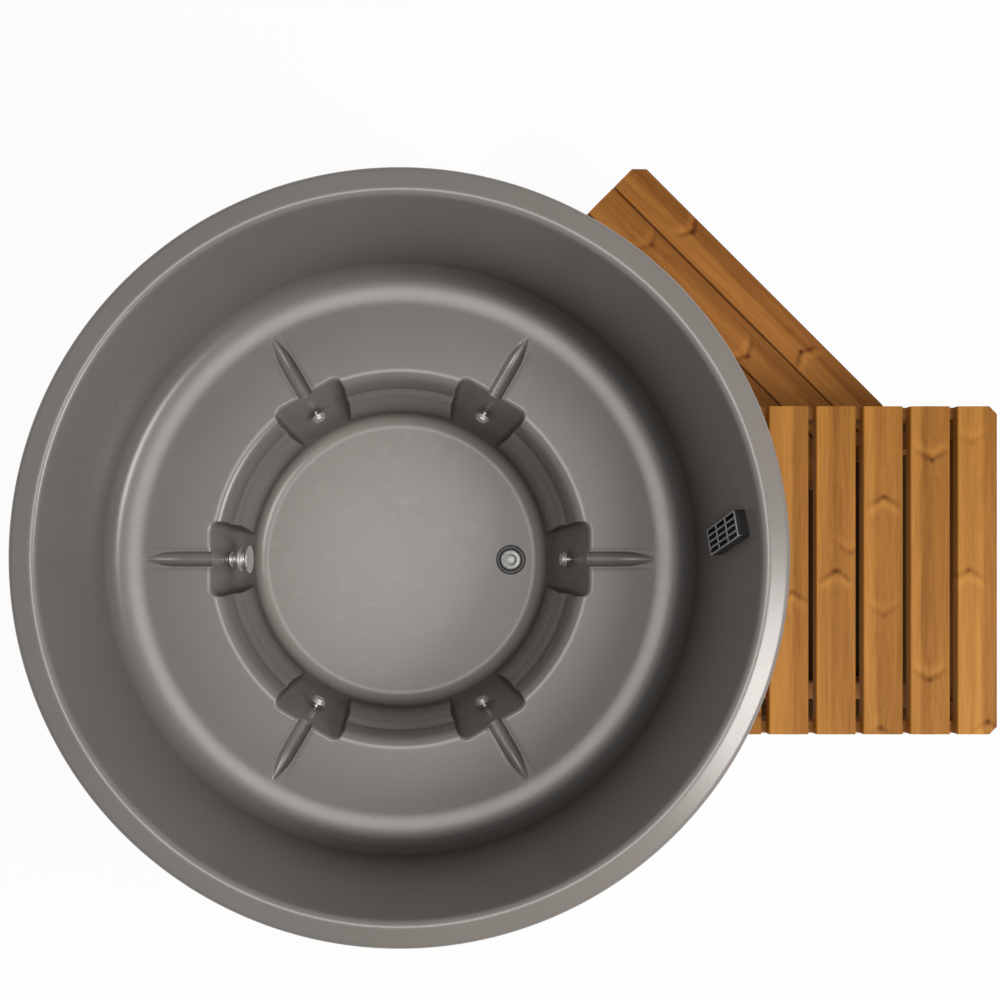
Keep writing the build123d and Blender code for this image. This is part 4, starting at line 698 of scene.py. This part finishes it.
# Pocket fittings stand square on the leaning faces at one height
FITTING_LEVEL = 325.0
SMALL_SEGMENTS = 56
WIDE_SEGMENTS = 96
POCKET_LEAN = (POCKET_FACE[1] - POCKET_FACE[0]) / (BENCH - POCKET_FOOT)
FITTING_REACH = POCKET_FACE[0] + POCKET_LEAN * (FITTING_LEVEL - POCKET_FOOT)
STUD_AZIMUTHS = (0, 60, 120, 240, 300)
STUD = ((0, -18), (5, -18), (5, 0), (8, 0), (8, 2.5), (5, 2.5), (5, 23), (0, 23))
WASHER = ((5.1, 13), (20.5, 13), (20.5, 16), (5.1, 16), (5.1, 13))
NUT = ((0, 16), (19, 16), (19, 19.2), (16, 21.4), (16, 24.4), (12, 26.6), (0, 28))
NOZZLE = (
    (12, -62), (16, -62), (16, 0), (21, 0), (21, 5), (15, 5), (15, 9), (18, 9), (18, 13),
    (15, 14), (15, 18), (32.5, 25), (32.5, 30), (27, 34), (27, 44), (18, 44), (12, 36),
    (12, -62),
)
CAP = (
    (0, 18), (6, 18), (6, 48), (36, 48), (37.5, 49.5), (37.5, 53), (36, 54), (31, 54),
    (29, 53), (12, 52.8), (10, 53.6), (0, 53.8),
)
DRAIN_RING = (
    (24, 36), (29, 36), (29, 80.1), (43, 80.1), (43, 82.4), (40, 83.5), (32.6, 83.5),
    (30.6, 80.5), (24, 80.5), (24, 36),
)
PLUG = (
    (0, 64.5), (21, 64.5), (21, 80.5), (30, 80.5), (30, 84), (25, 85.7), (21, 85.2),
    (18, 84.7), (14, 85.9), (10, 87.0), (5, 86.6), (0, 86.4),
)


def pocket_frame(azimuth):
    """Origin and outward direction of the fitting in the pocket at an azimuth."""
    a = radians(azimuth)
    out = Vector((-cos(a), -sin(a), POCKET_LEAN)).normalized()
    reach = FITTING_REACH * MM
    return Vector((reach * cos(a), reach * sin(a), FITTING_LEVEL * MM)), out


class HOTTUB_OT_fittings(bpy.types.Operator):
    """Studs, washers and domed nuts, the return nozzle with its cap, and the drain's plug"""

    bl_idname = "hottub.fittings"
    bl_label = "Fittings"

    def execute(self, context):
        finishes = context.scene.hot_tub_finishes
        chrome = bright_metal("plated_metal", tuple(finishes.metal), 0.36)
        for name, profile, ease in (
            ("pocket_studs", STUD, 1.0), ("pocket_washers", WASHER, 1.2), ("pocket_nuts", NUT, 1.3),
        ):
            points = turned(eased(profile, ease), *pocket_frame(0), SMALL_SEGMENTS)
            points, faces = around(points, STUD_AZIMUTHS)
            put(name + "_plated", points, faces, chrome, "tub", [name])
        port = pocket_frame(180)
        self.turn("return_nozzle", "_plated", NOZZLE, 1.2, port, chrome, "bright_metal")
        self.turn("nozzle_cap", "_plated", CAP, 0.9, port, chrome, "bright_metal", "nozzle_cap")

        low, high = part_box("drain_flange")
        drain = ((low[0] + high[0]) / 2, (low[1] + high[1]) / 2, 0.0), (0, 0, 1)
        black = moulded("drain_ring_black", tuple(finishes.black), 0.35)
        self.turn("drain_flange", "_ring", DRAIN_RING, 0.8, drain, black, "drain_ring")
        dulled = bright_metal("dulled_metal", tuple(c * 0.62 for c in finishes.metal), 0.46)
        self.turn("drain_plug", "_plated", PLUG, 0.9, drain, dulled, "bright_metal", "drain_plug")
        dress(chrome, "pocket_back_nuts", "valve_ball")
        return {"FINISHED"}

    def turn(self, node, ending, profile, ease, place, material, slot, body="tub"):
        """Turns a profile round a place's axis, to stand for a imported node."""
        points = turned(eased(profile, ease), *place, WIDE_SEGMENTS)
        faces = grid_faces(*points.shape[:2])
        put(node + ending, points, faces, material, body, [node])


def softened(name, node, material, body, width):
    """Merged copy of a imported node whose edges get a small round."""
    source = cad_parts[node]
    mesh = source.data.copy()
    mesh.name = name
    work = bmesh.new()
    work.from_mesh(mesh)
    bmesh.ops.remove_doubles(work, verts=work.verts, dist=1e-6)
    bmesh.ops.dissolve_limit(
        work, angle_limit=radians(0.5), verts=work.verts, edges=work.edges,
    )
    work.to_mesh(mesh)
    work.free()
    mesh.materials.clear()
    mesh.materials.append(material)
    piece = bpy.data.objects.new(name, mesh)
    bpy.context.scene.collection.objects.link(piece)
    edges = piece.modifiers.new("edges", "BEVEL")
    edges.width = width
    edges.segments = 2
    edges.limit_method = "ANGLE"
    edges.angle_limit = radians(35)
    edges.use_clamp_overlap = True
    edges.harden_normals = True
    result = settle(piece)
    result.materials.clear()
    result.materials.append(material)
    result.polygons.foreach_set("material_index", np.zeros(len(result.polygons), int))
    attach(piece, body)
    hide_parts(node)


# Direction in which the strainer's front looks, and how deep the painted highlight on its front face
# runs in metres
STRAINER_FRONT = Vector((-0.99071, -0.076231, 0.112612))
HIGHLIGHT_DEPTH = 0.0026


def strainer_finish(colour):
    """Black plastic whose front face is painted light grey as a highlight, broken up by noise and
    fading with depth behind the front face.
    """
    finish = Finish("strainer_black", specular_ior_level=0.9)
    front = (node_points("intake_strainer") @ np.array(STRAINER_FRONT)).max()
    place = finish.place
    settings = {"operation": "DOT_PRODUCT"}
    ahead = place.node("ShaderNodeVectorMath", settings, {0: place, 1: STRAINER_FRONT}, 1)
    # Painted highlight: the front face is painted pale grey, broken up by noise, and it fades with
    # depth behind that face.
    painted_front_highlight = (ahead - front).step(-HIGHLIGHT_DEPTH, -HIGHLIGHT_DEPTH * 0.25)
    highlight_breakup = place.noise(240.0, 2.0, 0.6).step(0.35, 0.65)
    tone = painted_front_highlight * highlight_breakup.between(0.55, 1.0)
    finish.link("Base Color", tone.mixed(tint(colour), tint(rgb(168, 168, 172))))
    finish.link("Roughness", place.noise(60.0, 2.0, 0.6).between(0.20, 0.34))
    return finish.material


class HOTTUB_OT_strainer(bpy.types.Operator):
    """Black strainer over the intake, and its plate"""

    bl_idname = "hottub.strainer"
    bl_label = "Strainer"

    def execute(self, context):
        colour = tuple(context.scene.hot_tub_finishes.black)
        edge = context.scene.hot_tub_sizes.strainer_edge
        black = strainer_finish(colour)
        softened("intake_strainer_box", "intake_strainer", black, "strainer", edge)
        dress(moulded("plate_black", colour, 0.5), "intake_plate")
        return {"FINISHED"}


# Wood, in metres: a growth ring, the way a bent ring reaches, and the lines of a chevron
RING_WIDTH = 0.0065
BEND_ALONG = 0.06
BEND_ACROSS = 0.03
BEND_DEPTH = 0.011
CHEVRON_SLOPE = 0.55
CHEVRON_ENDS = (0.020, 0.050)
DARK_LINE = 0.0075
PALE_LINE = 0.011
PALE_OFFSET = 0.017
KNOT_RADIUS = 0.0058
STRETCH = 0.045                  # scale of the noise along the board against across it


def timber(name, light, dark, shift=(0.0, 0.0, 0.0), turn=0.0, upright=False, seed=0.0,
           whorls=(), split=None, weathered=0.0, ring_of_boards=0):
    """Oiled pine, in the board's own directions across, along and depth.

    Growth rings are circles about a pith line that drifts along under the board; each ring
    darkens slowly and ends sharply. Streaks and fibres are noise stretched along the board.
    At a whorl of branches a dark chevron with a pale one beside it crosses the board, with a small
    dark knot in it. Beyond a split, given across the board, the wood is darker: partly its own tone
    and partly painted shade on that half of the board's top. A ring of boards gives each board round
    the axis its own tone."""
    finish = Finish(name, specular_ior_level=0.16)
    place = finish.place.mapped(shift, turn)
    across, along, depth = place.part("X"), place.part("Y"), place.part("Z")
    if upright:
        along, depth = depth, along
    board = place.node("ShaderNodeCombineXYZ", None, {0: across, 1: along * STRETCH, 2: depth + seed})
    long_line = place.node("ShaderNodeCombineXYZ", None, {0: seed * 3.1, 1: along, 2: seed})
    wander = (long_line.noise(1.6, 1.0) - 0.5) * 0.09
    sink = long_line.noise(1.1, 1.0).between(0.012, 0.075)
    bend = 0.0
    mark = 0.0
    for knot_across, knot_along, strength, sense in whorls:
        aside = (across - knot_across).size()
        ahead = along - knot_along
        ragged = (board.noise(60.0, 2.0) - 0.5) * 0.010
        line = ahead - aside * CHEVRON_SLOPE * sense + ragged
        reach = 1.0 - aside.step(*CHEVRON_ENDS)
        dark_line = line.hill(DARK_LINE) * reach
        pale_line = (line - PALE_OFFSET * sense).hill(PALE_LINE) * reach
        knot = (aside * aside + ahead * ahead).root().hill(KNOT_RADIUS)
        bend = ahead.hill(BEND_ALONG) * aside.hill(BEND_ACROSS) * BEND_DEPTH + bend
        mark = (dark_line * 0.30 - pale_line * 0.24 + knot * 0.45) * strength + mark
    near_pith = across - wander
    pith = (near_pith * near_pith + (depth - sink) * (depth - sink)).root() + bend
    ring = (pith / RING_WIDTH + board.noise(14.0, 2.0) * 1.4).fraction()
    late = (ring ** 2.5) * (1.0 - ring.step(0.93, 1.0))
    fibre = board.noise(620.0, 3.0, 0.65)
    streak = board.noise(34.0, 2.0, 0.55).step(0.28, 0.74)
    broad = board.noise(11.0, 1.0, 0.5).step(0.30, 0.70)
    fine = board.noise(150.0, 2.0, 0.6).step(0.30, 0.72)
    tone = late * 0.09 + fibre * 0.18 + fine * 0.14 + streak * 0.22 + broad * 0.16 + mark
    # Beyond the split one half of the top is darker: partly the wood's own tone, partly painted
    # shade.
    if split is not None:
        edge = across + (long_line.noise(7.0, 2.0) - 0.5) * 0.016 - split
        tone = tone + edge.step(-0.006, 0.008) * 0.30 - 0.06
    if ring_of_boards:
        angle = place.maths("ARCTAN2", finish.place.part("Y"), finish.place.part("X"))
        number = place.maths("ROUND", angle * (ring_of_boards / (2 * pi)))
        own = place.node("ShaderNodeTexWhiteNoise", {"noise_dimensions": "1D"}, {"W": number})
        tone = tone + (own - 0.5) * 0.26
    middle = tuple((a + b) / 2 for a, b in zip(light, dark))
    knot_colour = tuple(channel * 0.45 for channel in dark)
    colour = (tone * 0.75).ramp((0, light), (0.34, middle), (0.70, dark), (1, knot_colour))
    if weathered:
        grey = place.noise(5.0, 3.0, 0.6).step(0.35, 0.7) * weathered
        colour = grey.mixed(colour, tint(rgb(126, 112, 98)))
    finish.link("Base Color", colour)
    finish.link("Roughness", tone.between(0.56, 0.68))
    finish.bump(fibre * 0.5 - late * 0.5, 0.30, 0.0005)
    return finish.material


# Marks of branches on the steps, each with its pixel in the photograph, strength and sense, and where
# across a slat its darker half starts, partly the wood's own tone and partly painted shade
SLATS = 6
STEP_BOARDS = 3
WALL_BOARDS = 48
BOARD_WIDTH = 0.095
BOARD_SPLIT = 0.004
SLAT_SPLITS = (0.0, 0.008, -0.012, -0.020, -0.024, 0.010)
SLAT_MARKS = {
    1: ((760, 715, 0.6, 1),),
    2: ((792, 592, 0.8, -1),),
    3: ((836, 571, 1.0, -1), (851, 553, 0.5, 1)),
    4: ((884, 497, 1.0, -1), (884, 615, 0.4, 1), (881, 728, 0.8, -1)),
    5: ((932, 460, 0.9, 1), (930, 680, 0.8, 1)),
    6: ((971, 443, 0.4, 1), (969, 570, 0.9, -1), (988, 722, 0.8, -1)),
}
BOARD_MARKS = {
    1: ((693, 232, 1.0, 1), (801, 352, 1.1, -1)),
    2: ((652, 245, 0.6, 1), (748, 356, 1.0, 1)),
    3: (),
}
STEP_TURN = radians(-45)
DIAGONAL = sqrt(0.5)


class HOTTUB_OT_timber(bpy.types.Operator):
    """Wood of the steps, their frames, the boards and the frame under the tub"""

    bl_idname = "hottub.timber"
    bl_label = "Timber"

    def execute(self, context):
        finishes = context.scene.hot_tub_finishes
        light, dark = tuple(finishes.slat_light), tuple(finishes.slat_dark)
        for k in range(1, SLATS + 1):
            low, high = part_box(f"platform_slat_{k}")
            middle = high[0] - BOARD_WIDTH / 2
            whorls = []
            for x, y, strength, sense in SLAT_MARKS[k]:
                place = plan_place((x, y), high[2])
                whorls.append((place[0] - middle, place[1], strength, sense))
            material = timber(f"slat_wood_{k}", light, dark, (-middle, 0.0, -high[2]),
                              seed=0.37 * k + 0.11, whorls=whorls,
                              split=SLAT_SPLITS[k - 1])
            dress(material, f"platform_slat_{k}")
        light, dark = tuple(finishes.board_light), tuple(finishes.board_dark)
        for k in range(1, STEP_BOARDS + 1):
            corners = node_points(f"step_board_{k}")
            lines = (corners[:, 0] + corners[:, 1]) * DIAGONAL
            middle = (lines.min() + lines.max()) / 2
            top = corners[:, 2].max()
            whorls = []
            for x, y, strength, sense in BOARD_MARKS[k]:
                place = plan_place((x, y), top)
                aside = (place[0] + place[1]) * DIAGONAL - middle
                ahead = (place[1] - place[0]) * DIAGONAL
                whorls.append((aside, ahead, strength, sense))
            material = timber(f"board_wood_{k}", light, dark, (-middle, 0.0, -top), STEP_TURN,
                              seed=0.53 * k + 2.3, whorls=whorls, split=BOARD_SPLIT)
            dress(material, f"step_board_{k}")
        light, dark = rgb(170, 116, 62), rgb(104, 62, 28)
        quarter = radians(90)
        dress(timber("bearer_wood", light, dark, turn=quarter, seed=4.1), "platform_bearers")
        dress(timber("rail_wood", light, dark, seed=5.2), "platform_rails", "platform_wall_rail")
        dress(timber("step_bearer_wood", light, dark, turn=-STEP_TURN, seed=6.3), "step_bearers")
        dress(timber("step_rail_wood", light, dark, turn=STEP_TURN, seed=7.7), "step_front_rail")
        dress(timber("leg_wood", light, dark, upright=True, seed=8.4), "platform_legs", "step_legs")
        dress(
            timber("wall_board_wood", rgb(186, 128, 70), rgb(112, 68, 30), upright=True, seed=9.1,
                   ring_of_boards=WALL_BOARDS),
            "cladding_boards",
        )
        light, dark = rgb(202, 168, 120), rgb(146, 108, 66)
        dress(timber("post_wood", light, dark, upright=True, seed=1.9, weathered=0.3), "bench_posts")
        dress(timber("rough_wood", light, dark, seed=2.8, weathered=0.4), "base_joists",
              "base_panels", "bench_plates", "top_hoop")
        return {"FINISHED"}


def brushed_steel(name, colour, roughness):
    """Steel with fine scratches along its length and a little grime."""
    finish = Finish(name, metallic=1.0)
    place = finish.place
    scratch = place.mapped(scale=(1.0, 1.0, 24.0)).noise(120.0, 3.0, 0.6)
    grime = place.noise(9.0, 3.0, 0.6).step(0.5, 0.8)
    finish.link("Base Color", (grime * 0.5 + scratch * 0.2).mixed(tint(colour), tint(colour, 0.6)))
    finish.link("Roughness", (scratch * 0.12 + grime * 0.15) + roughness)
    finish.bump(scratch, 0.12, 0.0003)
    return finish.material


class HOTTUB_OT_metalwork(bpy.types.Operator):
    """Bands, bolts and screws, and the drain valve with its lever"""

    bl_idname = "hottub.metalwork"
    bl_label = "Metalwork"

    def execute(self, context):
        steel = brushed_steel("band_steel", rgb(196, 196, 194), 0.26)
        dress(steel, "lower_band", "upper_band", "band_bolts", "band_nuts")
        bolts = brushed_steel("bolt_steel", rgb(184, 184, 182), 0.30)
        dress(bolts, "platform_bolts", "step_screws", "intake_screws", "handle_nut")
        brass = brushed_steel("valve_brass", rgb(206, 176, 112), 0.26)
        dress(brass, "valve_body", "hose_tail")
        dress(moulded("lever_coat", rgb(150, 34, 26), 0.38), "valve_handle")
        return {"FINISHED"}


class HOTTUB_OT_pipework(bpy.types.Operator):
    """Pipes, hoses, seals and the foam jacket"""

    bl_idname = "hottub.pipework"
    bl_label = "Pipework"

    def execute(self, context):
        grey = moulded("pipe_plastic", rgb(96, 96, 96), 0.42)
        dress(grey, "nozzle_back_nut", "intake_back_nut", "intake_elbow", "intake_outlet",
              "return_flange", "drain_back_nut", "drain_sump", "drain_pipe")
        dress(moulded("hose_plastic", rgb(42, 42, 44), 0.5), "intake_hose", "return_hose")
        dress(moulded("seal_rubber", rgb(26, 26, 26), 0.7, 900.0), "pocket_seals", "nozzle_seal",
              "drain_seal", "plug_ring")
        dress(moulded("jacket_foam", rgb(222, 216, 198), 0.9, 180.0), "insulation_jacket")
        return {"FINISHED"}


# Lamps, each with its place and the point it looks at, and the stage's floor, in metres
KEY_LAMP = ((0.05, 0.0, 4.4), (0.0, 0.0, 0.4))
SIDE_LAMP = ((2.5, -0.9, 3.5), (0.0, 0.0, 0.7))
LAMP_COLOUR = (1.0, 0.965, 0.94)
FLOOR_REACH = 14.0
FLOOR_PAINT = (0.80, 0.80, 0.80, 1)
FLOOR_GLOW = 0.94                # share of plain white in what the camera sees
SHADE_PAINT = (0.035, 0.018, 0.007, 1)
SHADE_EDGES = (("X", 0.11), ("Y", 0.05))


def lamp(name, size, power, place, target):
    """A round soft lamp of a size at a place, turned to a target."""
    data = bpy.data.lights.new(name, "AREA")
    data.shape = "DISK"
    data.size = size
    data.energy = power
    data.color = LAMP_COLOUR
    made = bpy.data.objects.new(name, data)
    bpy.context.scene.collection.objects.link(made)
    made.location = place
    made.rotation_euler = (Vector(target) - Vector(place)).to_track_quat("-Z", "Y").to_euler()


def floor_finish():
    """Pale floor, white to the camera apart from a patch of shade under the upper step.

    The patch is the step's box thrown on the floor from the camera's height, so that the
    gaps between the slats look dark from above."""
    finish = Finish("floor_paint", roughness=0.85, specular_ior_level=0.0)
    tree = finish.place.tree
    shade = 1.0
    first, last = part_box("platform_slat_1"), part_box(f"platform_slat_{SLATS}")
    throw = 1 / (1 - last[1][2] / camera_place()[2])
    for axis, edge in SHADE_EDGES:
        k = "XY".index(axis)
        low = min(first[0][k], last[0][k]) * throw
        high = max(first[1][k], last[1][k]) * throw
        place = finish.place.part(axis)
        rise = place.step(low, low + edge)
        fall = 1.0 - place.step(high - edge, high)
        shade = rise * fall * shade
    finish.link("Base Color", shade.mixed(FLOOR_PAINT, SHADE_PAINT))
    rays = tree.nodes.new("ShaderNodeLightPath")
    seen = Value(tree, rays.outputs["Is Camera Ray"])
    glossy = Value(tree, rays.outputs["Is Glossy Ray"])
    through = Value(tree, rays.outputs["Is Transmission Ray"])
    glow = seen.node("ShaderNodeEmission", None, {"Color": (1, 1, 1, 1), "Strength": 1.0})
    share = (seen + glossy + through) * (1.0 - shade) * FLOOR_GLOW
    paint = Value(tree, finish.shader.outputs[0])
    mix = glow.node("ShaderNodeMixShader", None, {0: share, 1: paint, 2: glow})
    tree.links.new(mix.socket, tree.nodes["Material Output"].inputs["Surface"])
    return finish.material


class HOTTUB_OT_stage(bpy.types.Operator):
    """Camera, pale floor, soft lamps and even sky"""

    bl_idname = "hottub.stage"
    bl_label = "Stage"

    def execute(self, context):
        scene = context.scene
        sizes = scene.hot_tub_sizes
        data = bpy.data.cameras.new("camera")
        data.sensor_width = SENSOR
        data.lens = CAMERA_DROP / RIM_SCALE / IMAGE_SIZE * SENSOR
        data.shift_x = (IMAGE_SIZE / 2 - PLUMB_PIXEL[0]) / IMAGE_SIZE
        data.shift_y = (PLUMB_PIXEL[1] - IMAGE_SIZE / 2) / IMAGE_SIZE
        camera = bpy.data.objects.new("camera", data)
        scene.collection.objects.link(camera)
        camera.location = camera_place()
        scene.camera = camera

        work = bmesh.new()
        bmesh.ops.create_circle(work, cap_ends=True, segments=96, radius=FLOOR_REACH)
        mesh = bpy.data.meshes.new("floor")
        work.to_mesh(mesh)
        work.free()
        floor = bpy.data.objects.new("floor", mesh)
        scene.collection.objects.link(floor)
        mesh.materials.append(floor_finish())

        lamp("key", sizes.key_size, sizes.key_power, *KEY_LAMP)
        lamp("side", sizes.side_size, sizes.side_power, *SIDE_LAMP)
        world = bpy.data.worlds.new("world")
        world.use_nodes = True
        background = world.node_tree.nodes["Background"]
        background.inputs["Color"].default_value = (1.0, 1.0, 1.0, 1.0)
        background.inputs["Strength"].default_value = sizes.sky
        scene.world = world
        scene.view_settings.view_transform = "Standard"
        return {"FINISHED"}


class HOTTUB_PT_panel(bpy.types.Panel):
    """Lists the pieces that can be built, and their sizes and colours"""

    bl_label = "Hot Tub"
    bl_idname = "HOTTUB_PT_panel"
    bl_space_type = "VIEW_3D"
    bl_region_type = "UI"
    bl_category = "Hot Tub"

    def draw(self, context):
        for group in (context.scene.hot_tub_finishes, context.scene.hot_tub_sizes):
            for name in group.__annotations__:
                self.layout.prop(group, name)
        for operator in PIECES:
            self.layout.operator(operator.bl_idname)


PIECES = (
    HOTTUB_OT_basin, HOTTUB_OT_fittings, HOTTUB_OT_strainer, HOTTUB_OT_timber,
    HOTTUB_OT_metalwork, HOTTUB_OT_pipework, HOTTUB_OT_stage,
)
CLASSES = (HotTubFinishes, HotTubSizes, *PIECES, HOTTUB_PT_panel)


def register():
    for item in CLASSES:
        bpy.utils.register_class(item)
    bpy.types.Scene.hot_tub_finishes = PointerProperty(type=HotTubFinishes)
    bpy.types.Scene.hot_tub_sizes = PointerProperty(type=HotTubSizes)


def unregister():
    del bpy.types.Scene.hot_tub_sizes
    del bpy.types.Scene.hot_tub_finishes
    for item in reversed(CLASSES):
        bpy.utils.unregister_class(item)


def main():
    register()
    bpy.ops.hottub.basin()
    bpy.ops.hottub.fittings()
    bpy.ops.hottub.strainer()
    bpy.ops.hottub.timber()
    bpy.ops.hottub.metalwork()
    bpy.ops.hottub.pipework()
    bpy.ops.hottub.stage()


if __name__ == "__main__":
    main()
